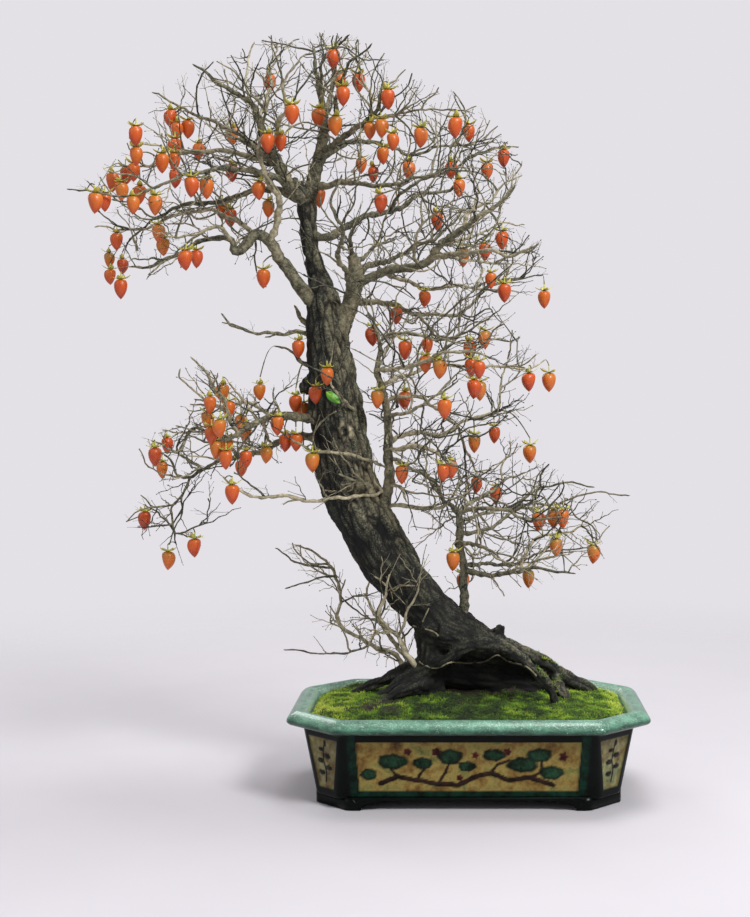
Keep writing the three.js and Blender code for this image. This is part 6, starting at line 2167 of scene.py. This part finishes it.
# %% [markdown]
# ## Moss tufts
#
# Nodes scatter points over the carpet where it grows and faces up, turn and size each by
# chance with a fixed seed, and set small tufts of slim leaves on them. Each tuft tells its
# `shade`, from deep green in the shady hollows to yellow-green on the sunny cushions.

# %% Tufts by nodes
TUFT_SIZES = {
    "Forms": ("Collection", None), "Material": ("Material", None), "Density": ("Float", 104000.0),
    "Smallest": ("Float", 0.6), "Largest": ("Float", 1.5), "Seed": ("Int", 7),
}
TUFT_FORMS = 4
TUFT_LEAVES = 5
LEAF_HALF = 0.5


def tuft_form(number):
    """A tuft of slim pointed leaves that spread from its foot."""
    shape = Shape()
    for leaf in range(TUFT_LEAVES):
        turn = 2 * math.pi * (leaf + chance(-0.3, 0.3)) / TUFT_LEAVES
        spread = chance(0.5, 1.3) if leaf else 0.1
        ahead = Vector((math.cos(turn) * spread, math.sin(turn) * spread, 1)).normalized()
        length = chance(2.4, 4.4) * MM
        side = ahead.orthogonal().normalized() * LEAF_HALF * MM
        other = ahead.cross(side.normalized()) * LEAF_HALF * MM
        base = Vector((math.cos(turn), math.sin(turn), 0)) * 0.5 * MM - Vector((0, 0, 0.8 * MM))
        points = [base + side, base - side * 0.5 + other * 0.87, base - side * 0.5 - other * 0.87, base + ahead * length]
        shape.take(points, [[0, 2, 1], [0, 1, 3], [1, 2, 3], [2, 0, 3]], [0.0, 0.0, 0.0, 1.0])
    return shape.mesh(f"tuft_{number}")


def tuft_tree():
    """Scatters tufts over the growing parts of a carpet."""
    tree, sizes, end = node_tree("moss tufts", TUFT_SIZES)
    growth = add(tree, "GeometryNodeInputNamedAttribute", {"Name": "growth"}, data_type="FLOAT").outputs[0]
    facing = add(tree, "GeometryNodeInputNormal").outputs[0]
    upward = sums(tree, "GREATER_THAN", add(tree, "ShaderNodeSeparateXYZ", {0: facing}).outputs[2], 0.3)
    density = sums(tree, "MULTIPLY", sums(tree, "MULTIPLY", growth, upward), sizes["Density"])
    spread = add(tree, "GeometryNodeDistributePointsOnFaces", {
        "Mesh": sizes["Geometry"], "Density": density, "Seed": sizes["Seed"]})
    here = add(tree, "GeometryNodeInputPosition").outputs[0]
    broad = add(tree, "ShaderNodeTexNoise", {"Vector": here, "Scale": 34.0, "Detail": 3.0}).outputs[0]
    own = add(tree, "FunctionNodeRandomValue", {"Seed": sizes["Seed"]}, data_type="FLOAT")
    away = sums(tree, "ABSOLUTE", sums(tree, "SUBTRACT", add(tree, "ShaderNodeSeparateXYZ", {0: here}).outputs[0],
                                       POT.x), 0.0)
    sunny = sums(tree, "SUBTRACT", sums(tree, "MULTIPLY", away, 4.2), 0.66)
    shade = sums(tree, "ADD", sums(tree, "MULTIPLY", sums(tree, "SUBTRACT", broad, 0.38), 3.2),
                 sums(tree, "MULTIPLY", own.outputs[1], 0.45))
    shade = sums(tree, "ADD", shade, sunny)
    marked = add(tree, "GeometryNodeStoreNamedAttribute", {
        "Geometry": spread.outputs["Points"], "Name": "shade", "Value": shade}, data_type="FLOAT", domain="POINT")
    turns = add(tree, "FunctionNodeRandomValue", {
        0: (-0.35, -0.35, 0.0), 1: (0.35, 0.35, 2 * math.pi), "Seed": sizes["Seed"]}, data_type="FLOAT_VECTOR")
    size = add(tree, "FunctionNodeRandomValue", {
        2: sizes["Smallest"], 3: sizes["Largest"], "Seed": sizes["Seed"]}, data_type="FLOAT")
    form = add(tree, "FunctionNodeRandomValue", {4: 0, 5: TUFT_FORMS - 1, "Seed": sizes["Seed"]}, data_type="INT")
    forms = add(tree, "GeometryNodeCollectionInfo", {
        "Collection": sizes["Forms"], "Separate Children": True, "Reset Children": True})
    turn = add(tree, "FunctionNodeEulerToRotation", {0: turns.outputs[0]}).outputs[0]
    copies = add(tree, "GeometryNodeInstanceOnPoints", {
        "Points": marked.outputs[0], "Instance": forms.outputs[0], "Pick Instance": True,
        "Instance Index": form.outputs[2], "Rotation": turn, "Scale": size.outputs[1]})
    real = add(tree, "GeometryNodeRealizeInstances", {"Geometry": copies.outputs[0]})
    done = add(tree, "GeometryNodeSetMaterial", {"Geometry": real.outputs[0], "Material": sizes["Material"]})
    tree.links.new(done.outputs[0], end.inputs[0])
    return tree


def moss_material():
    """Moss from dark roots to bright tips, deep green in some places and yellow in others."""
    made, tree, shader, place = material("moss", 0.72, Subsurface_Weight=0.06, Subsurface_Scale=0.002)
    up = told(tree, "tone")
    shade = told(tree, "shade")
    share = sums(tree, "ADD", sums(tree, "MULTIPLY", shade, 0.72), sums(tree, "MULTIPLY", up, 0.32), True)
    green = ramp(tree, share, [
        (0.05, colour(24, 40, 14)), (0.3, colour(58, 92, 22)), (0.52, colour(98, 148, 26)),
        (0.74, colour(152, 192, 36)), (1.0, colour(204, 220, 84))])
    dark = sums(tree, "MULTIPLY_ADD", up, 0.75, True)
    dark.node.inputs[2].default_value = 0.3
    lit = add(tree, "ShaderNodeCombineColor", {0: dark, 1: dark, 2: dark}).outputs[0]
    tree.links.new(blended(tree, 1.0, green, lit, "MULTIPLY"), shader.inputs["Base Color"])
    return made


def carpet_material():
    """The dark mat between the tufts."""
    made, tree, shader, place = material("moss_mat", 0.95)
    growth = told(tree, "growth")
    tone = ramp(tree, grain(tree, place, 240, 4), [
        (0.32, colour(20, 20, 12)), (0.5, colour(38, 58, 18)), (0.68, colour(76, 108, 30))])
    # Dark bare soil where the moss is thin; in the cave of the roots it is painted shade
    bare_and_shaded = ramp(tree, grain(tree, place, 320, 3), [(0.35, colour(20, 16, 12)), (0.65, colour(66, 54, 40))])
    tree.links.new(blended(tree, growth, bare_and_shaded, tone), shader.inputs["Base Color"])
    bumped(tree, shader, grain(tree, place, 420, 3), 0.9, 0.0015)
    return made


TUFTS = {"Forms": forms_of("tuft", [tuft_form(number) for number in range(TUFT_FORMS)]), "Material": moss_material()}
CARPET = carpet()
CARPET.materials.append(carpet_material())
TUFT_TREE = tuft_tree()
for name, ground in (("moss_tufts", CARPET), ("root_moss", OLD_SKIN)):
    tufts = grown(put("growing", ground.copy()), TUFT_TREE, TUFTS)
    finished(put(name, tufts), ["moss"] if ground == CARPET else [])
finished(put("moss_carpet", CARPET), ["moss"])


# %% Sizes and finish
low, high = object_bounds()
